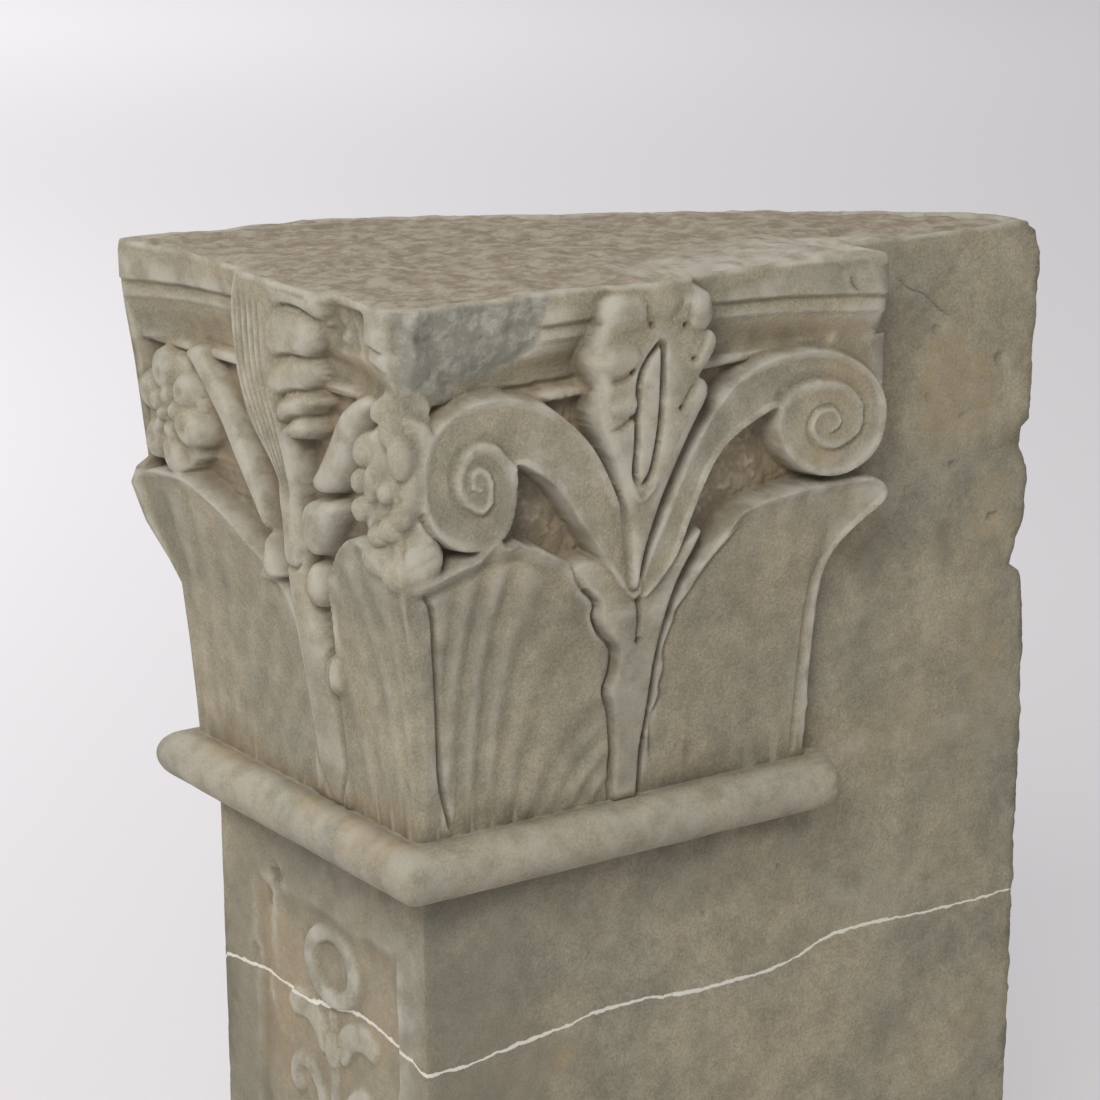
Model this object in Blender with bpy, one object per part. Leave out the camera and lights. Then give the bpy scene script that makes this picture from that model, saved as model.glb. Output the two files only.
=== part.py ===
"""Upper part of a carved stone pilaster with its capital, cut from one block.

The stone is drawn round its near corner, the arris. The front face looks along -X and carries a sunk panel.
The side face looks along -Y, carries the volutes, and runs on to +X as a plain slab with a ragged end.
Heights are measured from the middle of the neck roll, which parts the shaft from the capital.
Running this file builds the object stone_column, standing on its cut underside.
"""

import math

import bmesh
import bpy
import numpy as np

# Driving dimensions of the block, in metres
SHAFT_FACE = 0.300          # width of the carved front face
SIDE_RUN = 0.390            # the side face's carving, from the arris to the right leaf's tip
SLAB_RUN = 0.567            # the plain slab's mean end, from the arris
SLAB_END_THICKNESS = 0.068  # what is left of the block at its thin end
CAPITAL_RISE = 0.410        # from the middle of the neck roll to the top bed
SHAFT_DROP = 0.590          # from the middle of the neck roll to the cut underside
BACK_RETURN = 0.112         # how far the mouldings return along the hidden back
CUT_CLEARANCE = 0.047       # where the rough cut starts behind the mouldings, out from the hidden back
CUT_BELLY = 0.010           # how far the rough cut swells, and how deep its tooling is
CUT_TOOLING = 0.005
ROLL_RADIUS = 0.021         # neck roll
ROLL_CENTRE = 0.0152        # neck roll's middle, out from the shaft
ROLL_PAST_LEAF = 0.018      # how far the neck roll runs past the right leaf's foot
ROLL_BACK_STOP = 0.012      # how far the neck roll stops short of the back mouldings' end
PANEL_SINK = 0.005          # depth of the sunk panel
PANEL_RIGHT = 0.040         # plain margins of the panel beside each arris
PANEL_LEFT = 0.050
PANEL_TOP = 0.078           # panel's top, below the middle of the neck roll
CARVING_DEPTH = 0.050       # how far the abacus horns stand out from the shaft

# The sheet that the carving is drawn on, in its own units, which are millimetres at the sizes above
SHEET_SIDE = 390.0
SHEET_FRONT = 300.0
SHEET_RISE = 410.0
SHEET_DEPTH = 50.0
SHEET_SINK = 5.0            # the panel's depth there

# Small distances that keep edges crisp without being knife sharp, in metres
ARRIS_BLEND = 0.006         # from a corner's own bulge to the face beside it
STOP_BLEND = 0.001          # at the neck roll's stops
PANEL_EDGE = 0.003          # the slope down into the panel
SIDE_STRETCH = 0.12         # how far from a corner the columns make room for its bulge
FRONT_STRETCH = 0.10
BACK_STRETCH = 0.06

TRIANGLES = 9400            # what the finished solid keeps
STONE_COLOUR = (0.30, 0.285, 0.235, 1.0)

# Bell at its corners: height on the sheet, and how far the corner stands out along each face
CORNER_LEAF = ((21, 10.5), (46, 11.6), (94, 14.4), (140, 17.8), (158, 24), (189, 37), (219, 44.5))
NEAR_CORNER = ((21, 10.5), (46, 11.6), (94, 14.4), (140, 17.8), (158, 22), (189, 31), (205, 35),
               (236, 37), (247, 32), (300, 31), (318, 27), (345, 21), (372, 27), (395, 32), (410, 34))
BACK_CORNER = CORNER_LEAF + ((232, 41), (240, 34), (318, 40), (356, 44), (375, 45.5), (410, 46.5))
LEAF_FLARE = ((21, 10.5), (46, 12), (94, 15), (140, 19), (165, 24), (190, 31), (215, 38), (238, 42))
GROUND = ((21, 7), (90, 9), (160, 12), (240, 17), (320, 20), (350, 22), (410, 30))
RIGHT_LEAF_END = ((21, 334), (72, 337), (118, 339), (163, 343), (187, 352), (204, 370), (220, 394),
                  (238, 382), (244, 352))

# The slab's ragged end: height on the sheet, and how far past its mean length the slab reaches
SLAB_RAGGED = ((-330, -4), (-200, -1), (100, -2), (140, -16), (200, -2), (230, -13), (256, 0), (350, 3),
               (375, 6), (398, -4), (410, -17))

# Outlines on the side face: across from the arris, and up from the middle of the roll
RIGHT_SCROLL = ((156, 183), (169, 212), (183, 237), (198, 266), (212, 292), (230, 315), (252, 333),
                (280, 343), (322, 343), (356, 329), (376, 309), (382, 286), (375, 264), (358, 251),
                (333, 246), (305, 254), (287, 270), (279, 290), (279, 304), (259, 298), (236, 286),
                (219, 268), (202, 236), (188, 208), (164, 184))
RIGHT_CREASE = ((279, 296), (284, 309), (298, 318), (322, 320), (345, 313), (359, 296), (355, 277),
                (335, 268), (318, 272), (309, 285), (314, 296), (327, 299), (337, 293), (338, 284),
                (329, 280))
RIGHT_EYE = (326, 286)
LEFT_SCROLL = ((157, 186), (148, 226), (134, 264), (113, 301), (79, 331), (45, 342), (14, 341),
               (-10, 330), (-22, 314), (-27, 292), (-23, 266), (-8, 246), (13, 237), (37, 240),
               (49, 256), (53, 281), (53, 293), (74, 281), (91, 264), (104, 245), (117, 227),
               (128, 210), (146, 186))
LEFT_CREASE = ((53, 281), (50, 293), (42, 303), (30, 312), (14, 311), (4, 300), (2, 283), (9, 270),
               (21, 263), (31, 268), (33, 282), (28, 292), (20, 296), (13, 290), (15, 281), (21, 279))
LEFT_EYE = (20, 283)
CENTRE_LEAF = ((151, 195), (134, 262), (119, 289), (106, 310), (102, 323), (106, 335), (97, 345),
               (93, 358), (98, 370), (108, 375), (107, 390), (116, 402), (134, 407), (157, 411),
               (177, 411), (201, 402), (214, 390), (215, 376), (207, 364), (217, 360), (214, 347),
               (203, 338), (209, 327), (206, 313), (193, 300), (181, 277), (168, 250), (157, 212))
CALYX = ((138, 12), (138, 110), (131, 165), (107, 203), (104, 212), (124, 211), (140, 202), (151, 191),
         (161, 182), (163, 176), (168, 182), (186, 198), (207, 214), (221, 220), (209, 199), (197, 180),
         (188, 156), (180, 127), (173, 89), (166, 56), (163, 12))
LEFT_LEAF = ((-70, 12), (-70, 214), (-31, 217), (-14, 226), (16, 229), (45, 236), (72, 232), (100, 219),
             (109, 204), (114, 192), (128, 179), (127, 167), (134, 153), (144, 139), (142, 122),
             (136, 106), (141, 89), (138, 63), (141, 45), (142, 12))
RIGHT_LEAF = ((169, 12), (175, 65), (179, 88), (185, 126), (191, 149), (205, 177), (222, 197), (237, 213),
              (256, 231), (305, 239), (352, 239), (380, 237), (391, 221), (368, 204), (350, 187),
              (341, 163), (338, 118), (336, 72), (333, 12))
FOLD = ((176, 60), (184, 84), (190, 110), (194, 134), (203, 160), (215, 182), (232, 202), (252, 224))

# Outlines on the front face: back from the arris, and up
PALMETTE = ((99, 232), (98, 269), (90, 291), (82, 302), (78, 313), (53, 321), (53, 334), (75, 339),
            (63, 347), (62, 356), (74, 362), (55, 373), (47, 388), (56, 398), (50, 409), (72, 411),
            (95, 411), (135, 410), (164, 403), (182, 396), (178, 377), (171, 354), (157, 321),
            (142, 299), (125, 264), (118, 232))
FAR_STEM = ((120, 205), (118, 232), (131, 262), (148, 283), (165, 301), (185, 318), (205, 331),
            (232, 343), (256, 336), (243, 325), (222, 307), (202, 289), (187, 271), (171, 253),
            (152, 232), (134, 205))
NEAR_STEM = ((92, 228), (80, 215), (66, 233), (46, 262), (33, 288), (12, 305), (-8, 331), (-2, 344),
             (14, 341), (36, 328), (50, 305), (66, 284), (86, 259))
FAR_ROSETTE = (290, 283)
NEAR_ROSETTE = (-24, 290)
FAR_LEAF = ((370, 12), (370, 214), (356, 219), (334, 230), (288, 236), (257, 234), (206, 219), (182, 204),
            (158, 190), (140, 168), (130, 140), (127, 95), (124, 51), (124, 12))
NEAR_LEAF = ((-70, 12), (-70, 214), (-31, 224), (0, 237), (22, 241), (41, 231), (61, 208), (74, 190),
             (82, 160), (84, 113), (80, 56), (78, 12))
STALK = ((129, 12), (128, 100), (131, 150), (146, 178), (150, 200), (132, 212), (116, 220), (99, 222),
         (78, 214), (68, 196), (76, 176), (80, 140), (80, 60), (74, 12))

# One tier of the panel's candelabrum: out from its middle, and up from its own foot
PANEL_BLADE = ((4, -30), (10, -12), (26, 0), (50, 4), (66, -8), (58, -20), (44, -18), (30, -22), (16, -38))
PANEL_CURL = ((10, -88), (18, -64), (40, -48), (62, -56), (66, -74), (54, -84), (46, -74), (54, -66),
              (44, -60), (28, -70), (22, -88))


def ramp(low, high, value):
    """Rises smoothly from 0 at low to 1 at high."""
    share = np.clip((value - low) / (high - low), 0.0, 1.0)
    return share * share * (3.0 - 2.0 * share)


def keyed(keys, value):
    """Reads a profile given as (place, size) pairs."""
    places, sizes = zip(*keys)
    return np.interp(value, places, sizes)


def smooth_curve(points, closed=False, steps=5):
    """A Catmull-Rom curve through the points of an outline or a line."""
    knots = np.array(points, float)
    count = len(knots)
    spans = count if closed else count - 1
    found = []
    for span in range(spans):
        if closed:
            corners = [knots[(span + shift) % count] for shift in (-1, 0, 1, 2)]
        else:
            corners = [knots[min(max(span + shift, 0), count - 1)] for shift in (-1, 0, 1, 2)]
        before, start, end, after = corners
        for step in range(steps):
            t = step / steps
            found.append(0.5 * (2 * start + (end - before) * t
                                + (2 * before - 5 * start + 4 * end - after) * t ** 2
                                + (3 * start - before - 3 * end + after) * t ** 3))
    if not closed:
        found.append(knots[-1])
    return np.array(found)


def rough(scale, seed, *places):
    """Soft random waves between -1 and 1, about one to each scale of length."""
    table = np.random.default_rng(seed).uniform(-1.0, 1.0, 4096)
    cells = [np.floor(place / scale).astype(int) for place in places]
    shares = [ramp(0.0, 1.0, place / scale - cell) for place, cell in zip(places, cells)]
    primes = (73, 179, 283)
    total = 0.0
    for corner in range(2 ** len(places)):
        key = 0
        weight = 1.0
        for axis, (cell, share) in enumerate(zip(cells, shares)):
            step = (corner >> axis) & 1
            key = key + (cell + step) * primes[axis]
            weight = weight * (share if step else 1.0 - share)
        total = total + weight * table[key % 4096]
    return total


class Face:
    """One face of the stone as a sheet of points: across, up, and how far each stands out."""

    def __init__(self, across, up, out):
        self.across = across
        self.up = up
        self.out = out

    def near(self, line, reach):
        """The points in the box round a line."""
        low = line.min(axis=0) - reach
        high = line.max(axis=0) + reach
        return ((self.across > low[0]) & (self.across < high[0])
                & (self.up > low[1]) & (self.up < high[1]))

    def distance(self, line, where):
        """How far the chosen points lie from a line, on which side, and how far along it, 0 to 1."""
        across = self.across[where]
        up = self.up[where]
        best = np.full(across.shape, np.inf)
        side = np.zeros(across.shape)
        along = np.zeros(across.shape)
        lengths = np.hypot(*np.diff(line, axis=0).T)
        run = np.concatenate([[0.0], np.cumsum(lengths)])
        for index, (start, end) in enumerate(zip(line[:-1], line[1:])):
            step = end - start
            share = ((across - start[0]) * step[0] + (up - start[1]) * step[1]) / (step @ step)
            share = np.clip(share, 0.0, 1.0)
            gap_across = across - start[0] - share * step[0]
            gap_up = up - start[1] - share * step[1]
            gap = np.hypot(gap_across, gap_up)
            closer = gap < best
            best = np.where(closer, gap, best)
            side = np.where(closer, np.sign(step[0] * gap_up - step[1] * gap_across), side)
            along = np.where(closer, (run[index] + share * lengths[index]) / run[-1], along)
        return best, side, along

    def inside(self, outline, where):
        """How far inside a closed outline the chosen points lie; negative outside."""
        closed = np.vstack([outline, outline[:1]])
        gap, _, _ = self.distance(closed, where)
        across = self.across[where]
        up = self.up[where]
        crossed = np.zeros(across.shape, bool)
        for start, end in zip(closed[:-1], closed[1:]):
            if start[1] == end[1]:
                continue
            between = (up > min(start[1], end[1])) & (up <= max(start[1], end[1]))
            reach = start[0] + (up - start[1]) * (end[0] - start[0]) / (end[1] - start[1])
            crossed ^= between & (across < reach)
        return np.where(crossed, gap, -gap)

    def lay(self, points, level, wall=1.6, rim=0.0, rim_width=6.0, roundness=0.0, round_width=8.0):
        """Raises the stone inside an outline to a level, with steep walls and an optional rim or crown."""
        outline = smooth_curve(points, closed=True)
        where = self.near(outline, wall + 1.0)
        deep = self.inside(outline, where)
        height = level(self.across[where], self.up[where]) if callable(level) else level
        height = height + rim * (1.0 - ramp(0.0, rim_width, deep))
        height = height - roundness * (1.0 - ramp(0.0, round_width, deep))
        share = ramp(-wall, 0.0, deep)
        old = self.out[where]
        self.out[where] = np.maximum(old, old + (height - old) * share)

    def groove(self, points, depth, width):
        """Cuts a round-bottomed line, which fades at its ends."""
        line = smooth_curve(points)
        where = self.near(line, width)
        gap, _, along = self.distance(line, where)
        fade = ramp(0.0, 0.12, along) * ramp(0.0, 0.12, 1.0 - along)
        self.out[where] -= depth * (1.0 - ramp(0.0, width, gap)) * fade

    def drill(self, across, up, radius, depth):
        """A drilled hole."""
        gap = np.hypot(self.across - across, self.up - up)
        self.out -= depth * (1.0 - ramp(0.5 * radius, 1.3 * radius, gap))


def abacus(face, middle, half_run):
    """Fascia, fillet and hollow, which droop and step out towards the horns."""
    share = np.clip(np.abs(face.across - middle) / half_run, 0.0, 1.0)
    horn = ramp(0.55, 1.0, share)
    fascia_foot = 386.0 - 8.0 * share ** 2
    fillet_foot = 375.0 - 10.0 * share ** 2
    hollow_foot = 345.0 - 14.0 * share ** 2
    hollow = 23.0 + 12.0 * horn + 9.0 * ramp(hollow_foot, fillet_foot, face.up) ** 2
    fillet = 34.0 + 13.0 * horn
    fascia = 38.0 + 12.0 * horn
    profile = np.where(face.up > hollow_foot, hollow, 0.0)
    profile = profile + (fillet - profile) * ramp(fillet_foot - 1.5, fillet_foot, face.up)
    profile = profile + (fascia - profile) * ramp(fascia_foot - 1.5, fascia_foot, face.up)
    face.out[:] = np.maximum(face.out, profile)


def bell_lip(face, middle, slope):
    """Thin rounded rim of the bell, just below the abacus."""
    height = 337.0 + slope * (face.across - middle)
    gap = np.abs(face.up - height)
    rim = 30.0 * np.sqrt(np.clip(1.0 - (gap / 6.0) ** 4, 0.0, 1.0))
    face.out[:] = np.maximum(face.out, rim)


def scroll(face, outline, crease, eye, turn):
    """A stem that runs up and coils into a volute; turn is -1 for clockwise."""
    def level(across, up):
        centre = np.hypot(across - eye[0], up - eye[1])
        foot = ramp(175.0, 260.0, up)
        return 31.0 + 8.0 * foot + 3.0 * (1.0 - ramp(0.0, 45.0, centre))

    face.lay(outline, level, rim=4.0, rim_width=9.0)
    line = smooth_curve(crease)
    where = face.near(line, 14.0)
    gap, side, along = face.distance(line, where)
    reach = 2.0 + 9.0 * (1.0 - along)
    fall = 1.0 - ramp(0.0, reach, gap)
    grow = ramp(0.0, 0.10, along)
    step = np.where(side * turn > 0, 2.6, -3.2) * ramp(0.0, 0.7, gap)
    inner = face.inside(smooth_curve(outline, closed=True), where) > 0
    face.out[where] += np.where(inner, step * fall * grow, 0.0)


def fan_flutes(face, points, root, edge, top, count, depth, lean):
    """Flutes that fan out over a water leaf, from its base to its free edge."""
    outline = smooth_curve(points, closed=True)
    where = face.near(outline, 0.0)
    deep = face.inside(outline, where)
    rise = face.up[where] / top
    across = (face.across[where] - root) / (edge - root)
    fan = across * (1.0 - lean * rise)
    wave = np.cos(2.0 * math.pi * count * fan)
    fade = ramp(0.0, 5.0, deep) * ramp(0.0, 0.12, across)
    face.out[where] += np.where(deep > 0, depth * (wave - 0.4) * fade, 0.0)


def leaf_level(across, up):
    """A water leaf's own surface, which flares out to its rim."""
    return keyed(LEAF_FLARE, up)


def rosette(face, centre, radius, petals, level):
    """A flower with rounded petals round a small knob."""
    gap = np.hypot(face.across - centre[0], face.up - centre[1])
    angle = np.arctan2(face.up - centre[1], face.across - centre[0])
    lobe = radius * (0.86 + 0.14 * np.cos(petals * angle))
    inner = radius * (0.50 + 0.08 * np.cos(petals * angle + math.pi))
    parting = np.cos(petals * angle + math.pi) ** 2 * (gap > inner)
    height = level - 7.0 * ramp(0.55, 1.0, gap / lobe) - 3.0 * parting
    height = height + 4.0 * (1.0 - ramp(inner - 2.0, inner, gap)) - 4.0 * ramp(2.0, 9.0, inner - gap)
    height = height + 5.0 * (1.0 - ramp(5.0, 8.0, gap))
    share = 1.0 - ramp(lobe - 1.0, lobe + 1.5, gap)
    face.out[:] = np.maximum(face.out, face.out + (height - face.out) * share)


def carve_side(across, up):
    """How far the side face's capital stands out from the slab, on the sheet."""
    face = Face(across, up, keyed(GROUND, up))
    face.out[:] = np.where(across < 352.0, face.out, 0.0)
    bell_lip(face, 165.0, 0.05)
    abacus(face, 160.0, 215.0)
    scroll(face, RIGHT_SCROLL, RIGHT_CREASE, RIGHT_EYE, -1)
    scroll(face, LEFT_SCROLL, LEFT_CREASE, LEFT_EYE, 1)
    face.lay(CALYX, lambda a, z: 13.0 + 21.0 * ramp(21.0, 215.0, z), roundness=3.0)
    face.groove(((163, 184), (162, 168), (161, 146)), 8.0, 2.5)
    face.lay(CENTRE_LEAF, lambda a, z: 42.0 + 14.0 * ramp(200.0, 380.0, z), roundness=5.0, round_width=14.0)
    for points in (((173, 372), (160, 357), (153, 336), (151, 305), (148, 280), (152, 264)),
                   ((173, 372), (172, 341), (169, 317), (164, 293), (159, 271), (154, 264))):
        face.groove(points, 9.0, 3.6)
    for points in (((110, 376), (128, 368), (143, 350)), ((103, 336), (124, 332), (142, 316)),
                   ((134, 404), (152, 396), (159, 379)), ((206, 364), (200, 358), (194, 350)),
                   ((204, 338), (195, 328), (187, 316)), ((196, 398), (192, 388), (189, 376))):
        face.groove(points, 5.0, 3.0)
    face.lay(LEFT_LEAF, leaf_level)
    fan_flutes(face, LEFT_LEAF, 8.0, 142.0, 235.0, 9.0, 1.3, 0.55)
    face.groove(((0, 206), (5, 160), (7, 110), (10, 60), (16, 22)), 3.0, 2.6)
    face.lay(RIGHT_LEAF, leaf_level, rim=2.0, rim_width=9.0)
    face.groove(FOLD, 2.5, 3.0)
    fan_flutes(face, RIGHT_LEAF, 180.0, 330.0, 235.0, 7.0, 0.5, 0.0)
    broken = 19.0 + 0.26 * (up - 333.0) + 2.0 * rough(30.0, 5, across, up)
    hurt = (1.0 - ramp(88.0, 100.0, across)) * ramp(330.0, 336.0, up) * (1.0 - ramp(403.0, 409.0, up))
    face.out -= np.maximum(face.out - broken, 0.0) * hurt * (across < 104.0)
    horn_end = 377.0
    volute_end = 386.0
    end = np.where(up > 346.0, horn_end, np.where(up > 240.0, volute_end, keyed(RIGHT_LEAF_END, up)))
    return face.out * (1.0 - ramp(0.0, 1.6, across - end))


def carve_front(across, up):
    """How far the front face's capital stands out from the shaft, on the sheet."""
    face = Face(across, up, keyed(GROUND, up))
    bell_lip(face, 145.0, -0.02)
    abacus(face, 145.0, 200.0)
    face.lay(FAR_STEM, 39.0, roundness=5.0)
    face.lay(NEAR_STEM, lambda a, z: 40.0 + 2.5 * rough(16.0, 9, a, z), roundness=6.0)
    face.groove(((30, 262), (45, 254), (60, 252)), 5.0, 3.0)
    rosette(face, FAR_ROSETTE, 52.0, 5, 45.0)
    rosette(face, NEAR_ROSETTE, 40.0, 5, 43.0)
    face.lay(STALK, lambda a, z: 13.0 + 20.0 * ramp(21.0, 215.0, z), roundness=5.0)
    face.lay(PALMETTE, lambda a, z: 35.0 + 15.0 * ramp(230.0, 370.0, z), roundness=5.0, round_width=12.0)
    for shift in (0.0, 7.0, 14.0):
        flute = ((116 - 0.3 * shift, 250), (140 - shift, 308), (160 - shift, 355), (172 - shift, 398))
        face.groove(flute, 3.0, 2.5)
    for points in (((54, 400), (75, 388), (92, 366)), ((66, 352), (84, 344), (94, 330)),
                   ((60, 327), (82, 318), (94, 302))):
        face.groove(points, 5.0, 3.5)
    face.lay(FAR_LEAF, leaf_level)
    fan_flutes(face, FAR_LEAF, 345.0, 124.0, 235.0, 9.0, 1.2, 0.4)
    face.lay(NEAR_LEAF, leaf_level)
    fan_flutes(face, NEAR_LEAF, -14.0, 80.0, 235.0, 6.0, 1.2, 0.4)
    chipped = 31.0 + 2.0 * rough(14.0, 6, across, up)
    hurt = ramp(-5.0, 12.0, across) * (1.0 - ramp(44.0, 56.0, across)) * ramp(362.0, 374.0, up)
    face.out -= np.maximum(face.out - chipped, 0.0) * hurt * (1.0 - ramp(398.0, 404.0, up))
    return face.out


def carve_back(across, up):
    """How far the hidden back's plain mouldings stand out, on the sheet."""
    face = Face(across, up, keyed(BACK_CORNER, up) * (1.0 - 0.35 * ramp(-40.0, 60.0, across)))
    abacus(face, 160.0, 215.0)
    return face.out


def carve_panel(across, up):
    """The sunk panel's candelabrum, as depths below the shaft's face, on the sheet; up is below the roll."""
    face = Face(across, up, np.full(across.shape, -SHEET_SINK))
    ring = np.hypot((across - 135.0) / 40.0, (up + 122.0) / 33.0)
    face.out[:] = np.maximum(face.out, -SHEET_SINK + 4.6 * (1.0 - ramp(0.16, 0.24, np.abs(ring - 0.80))))
    first = -160.0
    pitch = 96.0
    middle = 137.0
    underside = -SHAFT_DROP / CAPITAL_RISE * SHEET_RISE
    tiers = int((first - 40.0 - underside) // pitch) + 1
    for tier in range(tiers):
        foot = first - pitch * tier
        for mirror in (-1.0, 1.0):
            blade = [(middle + mirror * a, foot + z) for a, z in PANEL_BLADE]
            face.lay(blade, -0.6, roundness=1.5, round_width=5.0)
            curl = [(middle + mirror * a, foot + z) for a, z in PANEL_CURL]
            face.lay(curl, -1.0, roundness=1.5, round_width=4.0)
        knop = np.hypot((across - middle) / 13.0, (up - foot + 30.0) / 17.0)
        face.out[:] = np.maximum(face.out, -SHEET_SINK * ramp(0.75, 1.0, knop))
        stem = np.abs(across - middle) < 6.0
        face.out[:] = np.where(stem & (up < foot), np.maximum(face.out, -1.5), face.out)
    return face.out


def stations():
    """Column places along each face and row heights, in metres, finer where the stone is carved."""
    margin = SIDE_RUN + 0.008
    side = np.concatenate([np.linspace(SLAB_RUN, margin, 9)[:-1], np.linspace(margin, 0.0, 134)])
    front = np.linspace(0.0, SHAFT_FACE, 106)
    back = np.linspace(0.0, BACK_RETURN, 20)
    cut = np.linspace(0.0, 1.0, 22)
    end = np.linspace(0.0, 1.0, 5)
    foot = -SHAFT_DROP
    shaft = np.linspace(foot, -ROLL_RADIUS - 0.002, int((SHAFT_DROP - ROLL_RADIUS) / 0.0036))
    leaf_foot = CORNER_LEAF[0][1] * CARVING_DEPTH / SHEET_DEPTH
    start = -math.acos(-ROLL_CENTRE / ROLL_RADIUS)
    stop = math.acos(np.clip((leaf_foot - ROLL_CENTRE) / ROLL_RADIUS, -1.0, 1.0))
    turns = np.linspace(start, stop, 15)
    bell = np.linspace(ROLL_RADIUS + 0.0008, CAPITAL_RISE - 0.004, 124)
    return side, front, back, cut, end, shaft, turns, bell


def slab_end(height):
    """The ragged end of the slab, from the arris, at each height."""
    unit = CAPITAL_RISE / SHEET_RISE
    return SLAB_RUN + keyed(SLAB_RAGGED, height / unit) * unit + 0.0015 * rough(0.022, 3, height)


def stretch(place, corner, reach):
    """How far a column moves out past a corner that stands out; it fades within reach of the corner."""
    return corner * np.clip(1.0 - place / reach, 0.0, 1.0) ** 2


def stone_points():
    """All points of the stone, as rows of closed rings from the underside up, in metres."""
    side, front, back, cut, end, shaft, turns, bell = stations()
    rise = CAPITAL_RISE / SHEET_RISE
    depth = CARVING_DEPTH / SHEET_DEPTH
    wide = SIDE_RUN / SHEET_SIDE
    deep = SHAFT_FACE / SHEET_FRONT
    round_up = ROLL_RADIUS * np.sin(turns)
    plain = np.concatenate([shaft, np.linspace(round_up[0], round_up[-1], len(turns)), bell])
    roll_out = np.concatenate([np.zeros(len(shaft)), ROLL_CENTRE + ROLL_RADIUS * np.cos(turns),
                               np.zeros(len(bell))])
    roll_up = np.concatenate([shaft, round_up, bell])
    roll_end = RIGHT_LEAF_END[0][1] * wide + ROLL_PAST_LEAF
    roll_back_end = BACK_RETURN - ROLL_BACK_STOP
    is_roll = np.concatenate([np.zeros(len(shaft)), np.ones(len(turns)), np.zeros(len(bell))])
    is_bell = np.concatenate([np.zeros(len(shaft) + len(turns)), np.ones(len(bell))])
    sheet_up = plain / rise
    near = np.where(is_roll > 0, roll_out, is_bell * keyed(NEAR_CORNER, sheet_up) * depth)
    far = np.where(is_roll > 0, roll_out, is_bell * keyed(BACK_CORNER, sheet_up) * depth)
    rows = []
    for index, height in enumerate(plain):
        up = sheet_up[index]
        bulge = near[index]
        x = side - stretch(side, bulge, SIDE_STRETCH)
        last = slab_end(height)
        past = (side - SIDE_RUN) / (SLAB_RUN - SIDE_RUN)
        x = np.where(past > 0.0, SIDE_RUN + past * (last - SIDE_RUN), x)
        on_roll = is_roll[index] * (1.0 - ramp(roll_end - STOP_BLEND, roll_end + STOP_BLEND, x))
        if is_bell[index]:
            out = carve_side(x / wide, np.full(x.shape, up)) * depth
            out = bulge + (out - bulge) * ramp(0.0, ARRIS_BLEND, x + bulge)
        else:
            out = np.zeros(x.shape)
        out = out + roll_out[index] * on_roll
        z = height + (roll_up[index] - height) * on_roll
        ring = [np.stack([x, -out, z], axis=1)]
        bulge_far = far[index]
        y = front - stretch(front, bulge, FRONT_STRETCH)
        y = y + stretch(SHAFT_FACE - front, bulge_far, FRONT_STRETCH)
        if is_bell[index]:
            out = carve_front(y / deep, np.full(y.shape, up)) * depth
            out = bulge + (out - bulge) * ramp(0.0, ARRIS_BLEND, y + bulge)
            out = bulge_far + (out - bulge_far) * ramp(0.0, ARRIS_BLEND, SHAFT_FACE + bulge_far - y)
        elif is_roll[index]:
            out = np.full(y.shape, roll_out[index])
        else:
            sunk = carve_panel(y / deep, np.full(y.shape, height / rise)) * PANEL_SINK / SHEET_SINK
            inside = (ramp(PANEL_RIGHT, PANEL_RIGHT + PANEL_EDGE, y)
                      * ramp(PANEL_LEFT, PANEL_LEFT + PANEL_EDGE, SHAFT_FACE - y)
                      * ramp(PANEL_TOP, PANEL_TOP + PANEL_EDGE, -height))
            out = sunk * inside
        z = np.full(y.shape, roll_up[index] if is_roll[index] else height)
        ring.append(np.stack([-out, y, z], axis=1)[1:])
        x = back - stretch(back, bulge_far, BACK_STRETCH)
        on_roll = is_roll[index] * (1.0 - ramp(roll_back_end - STOP_BLEND, roll_back_end + STOP_BLEND, x))
        if is_bell[index]:
            out = carve_back(x / deep, np.full(x.shape, up)) * depth
            out = bulge_far + (out - bulge_far) * ramp(0.0, ARRIS_BLEND, x + bulge_far)
        else:
            out = np.zeros(x.shape)
        out = out + roll_out[index] * on_roll
        z = height + (roll_up[index] - height) * on_roll
        ring.append(np.stack([x, SHAFT_FACE + out, z], axis=1)[1:])
        start = np.array([BACK_RETURN, SHAFT_FACE + CUT_CLEARANCE])
        tail = np.array([last - 0.012, SLAB_END_THICKNESS])
        share = cut[1:, None]
        middle = np.sin(math.pi * share)
        hewn = start + (tail - start) * share
        tooling = rough(0.05, 21, hewn[:, :1], hewn[:, 1:], height)
        hewn = hewn + middle * (CUT_BELLY + CUT_TOOLING * tooling)
        hewn[:, 1] = np.minimum(hewn[:, 1], SHAFT_FACE + out[-1])
        ring.append(np.column_stack([hewn, np.full(len(hewn), height)]))
        close = end[1:-1, None]
        edge = tail + (np.array([last, 0.0]) - tail) * close
        edge[:, 0] += 0.008 * np.sin(math.pi * close[:, 0])
        ring.append(np.column_stack([edge, np.full(len(edge), height)]))
        rows.append(np.vstack(ring))
    return np.array(rows)


def close_top(rows):
    """Adds the top bed as rings that shrink inwards, with a worn edge and a hewn surface."""
    rim = rows[-1]
    middle = np.array([0.45 * SIDE_RUN, 0.45 * SHAFT_FACE])
    shares = np.array([0.012, 0.10, 0.22, 0.36, 0.52, 0.70, 0.88])
    added = []
    for share in shares:
        ring = rim.copy()
        ring[:, :2] += (middle - rim[:, :2]) * share
        bumps = rough(0.030, 11, ring[:, 0], ring[:, 1])
        ring[:, 2] = CAPITAL_RISE - 0.0015 + 0.0015 * bumps
        added.append(ring)
    return np.concatenate([rows, np.array(added)])


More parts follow.
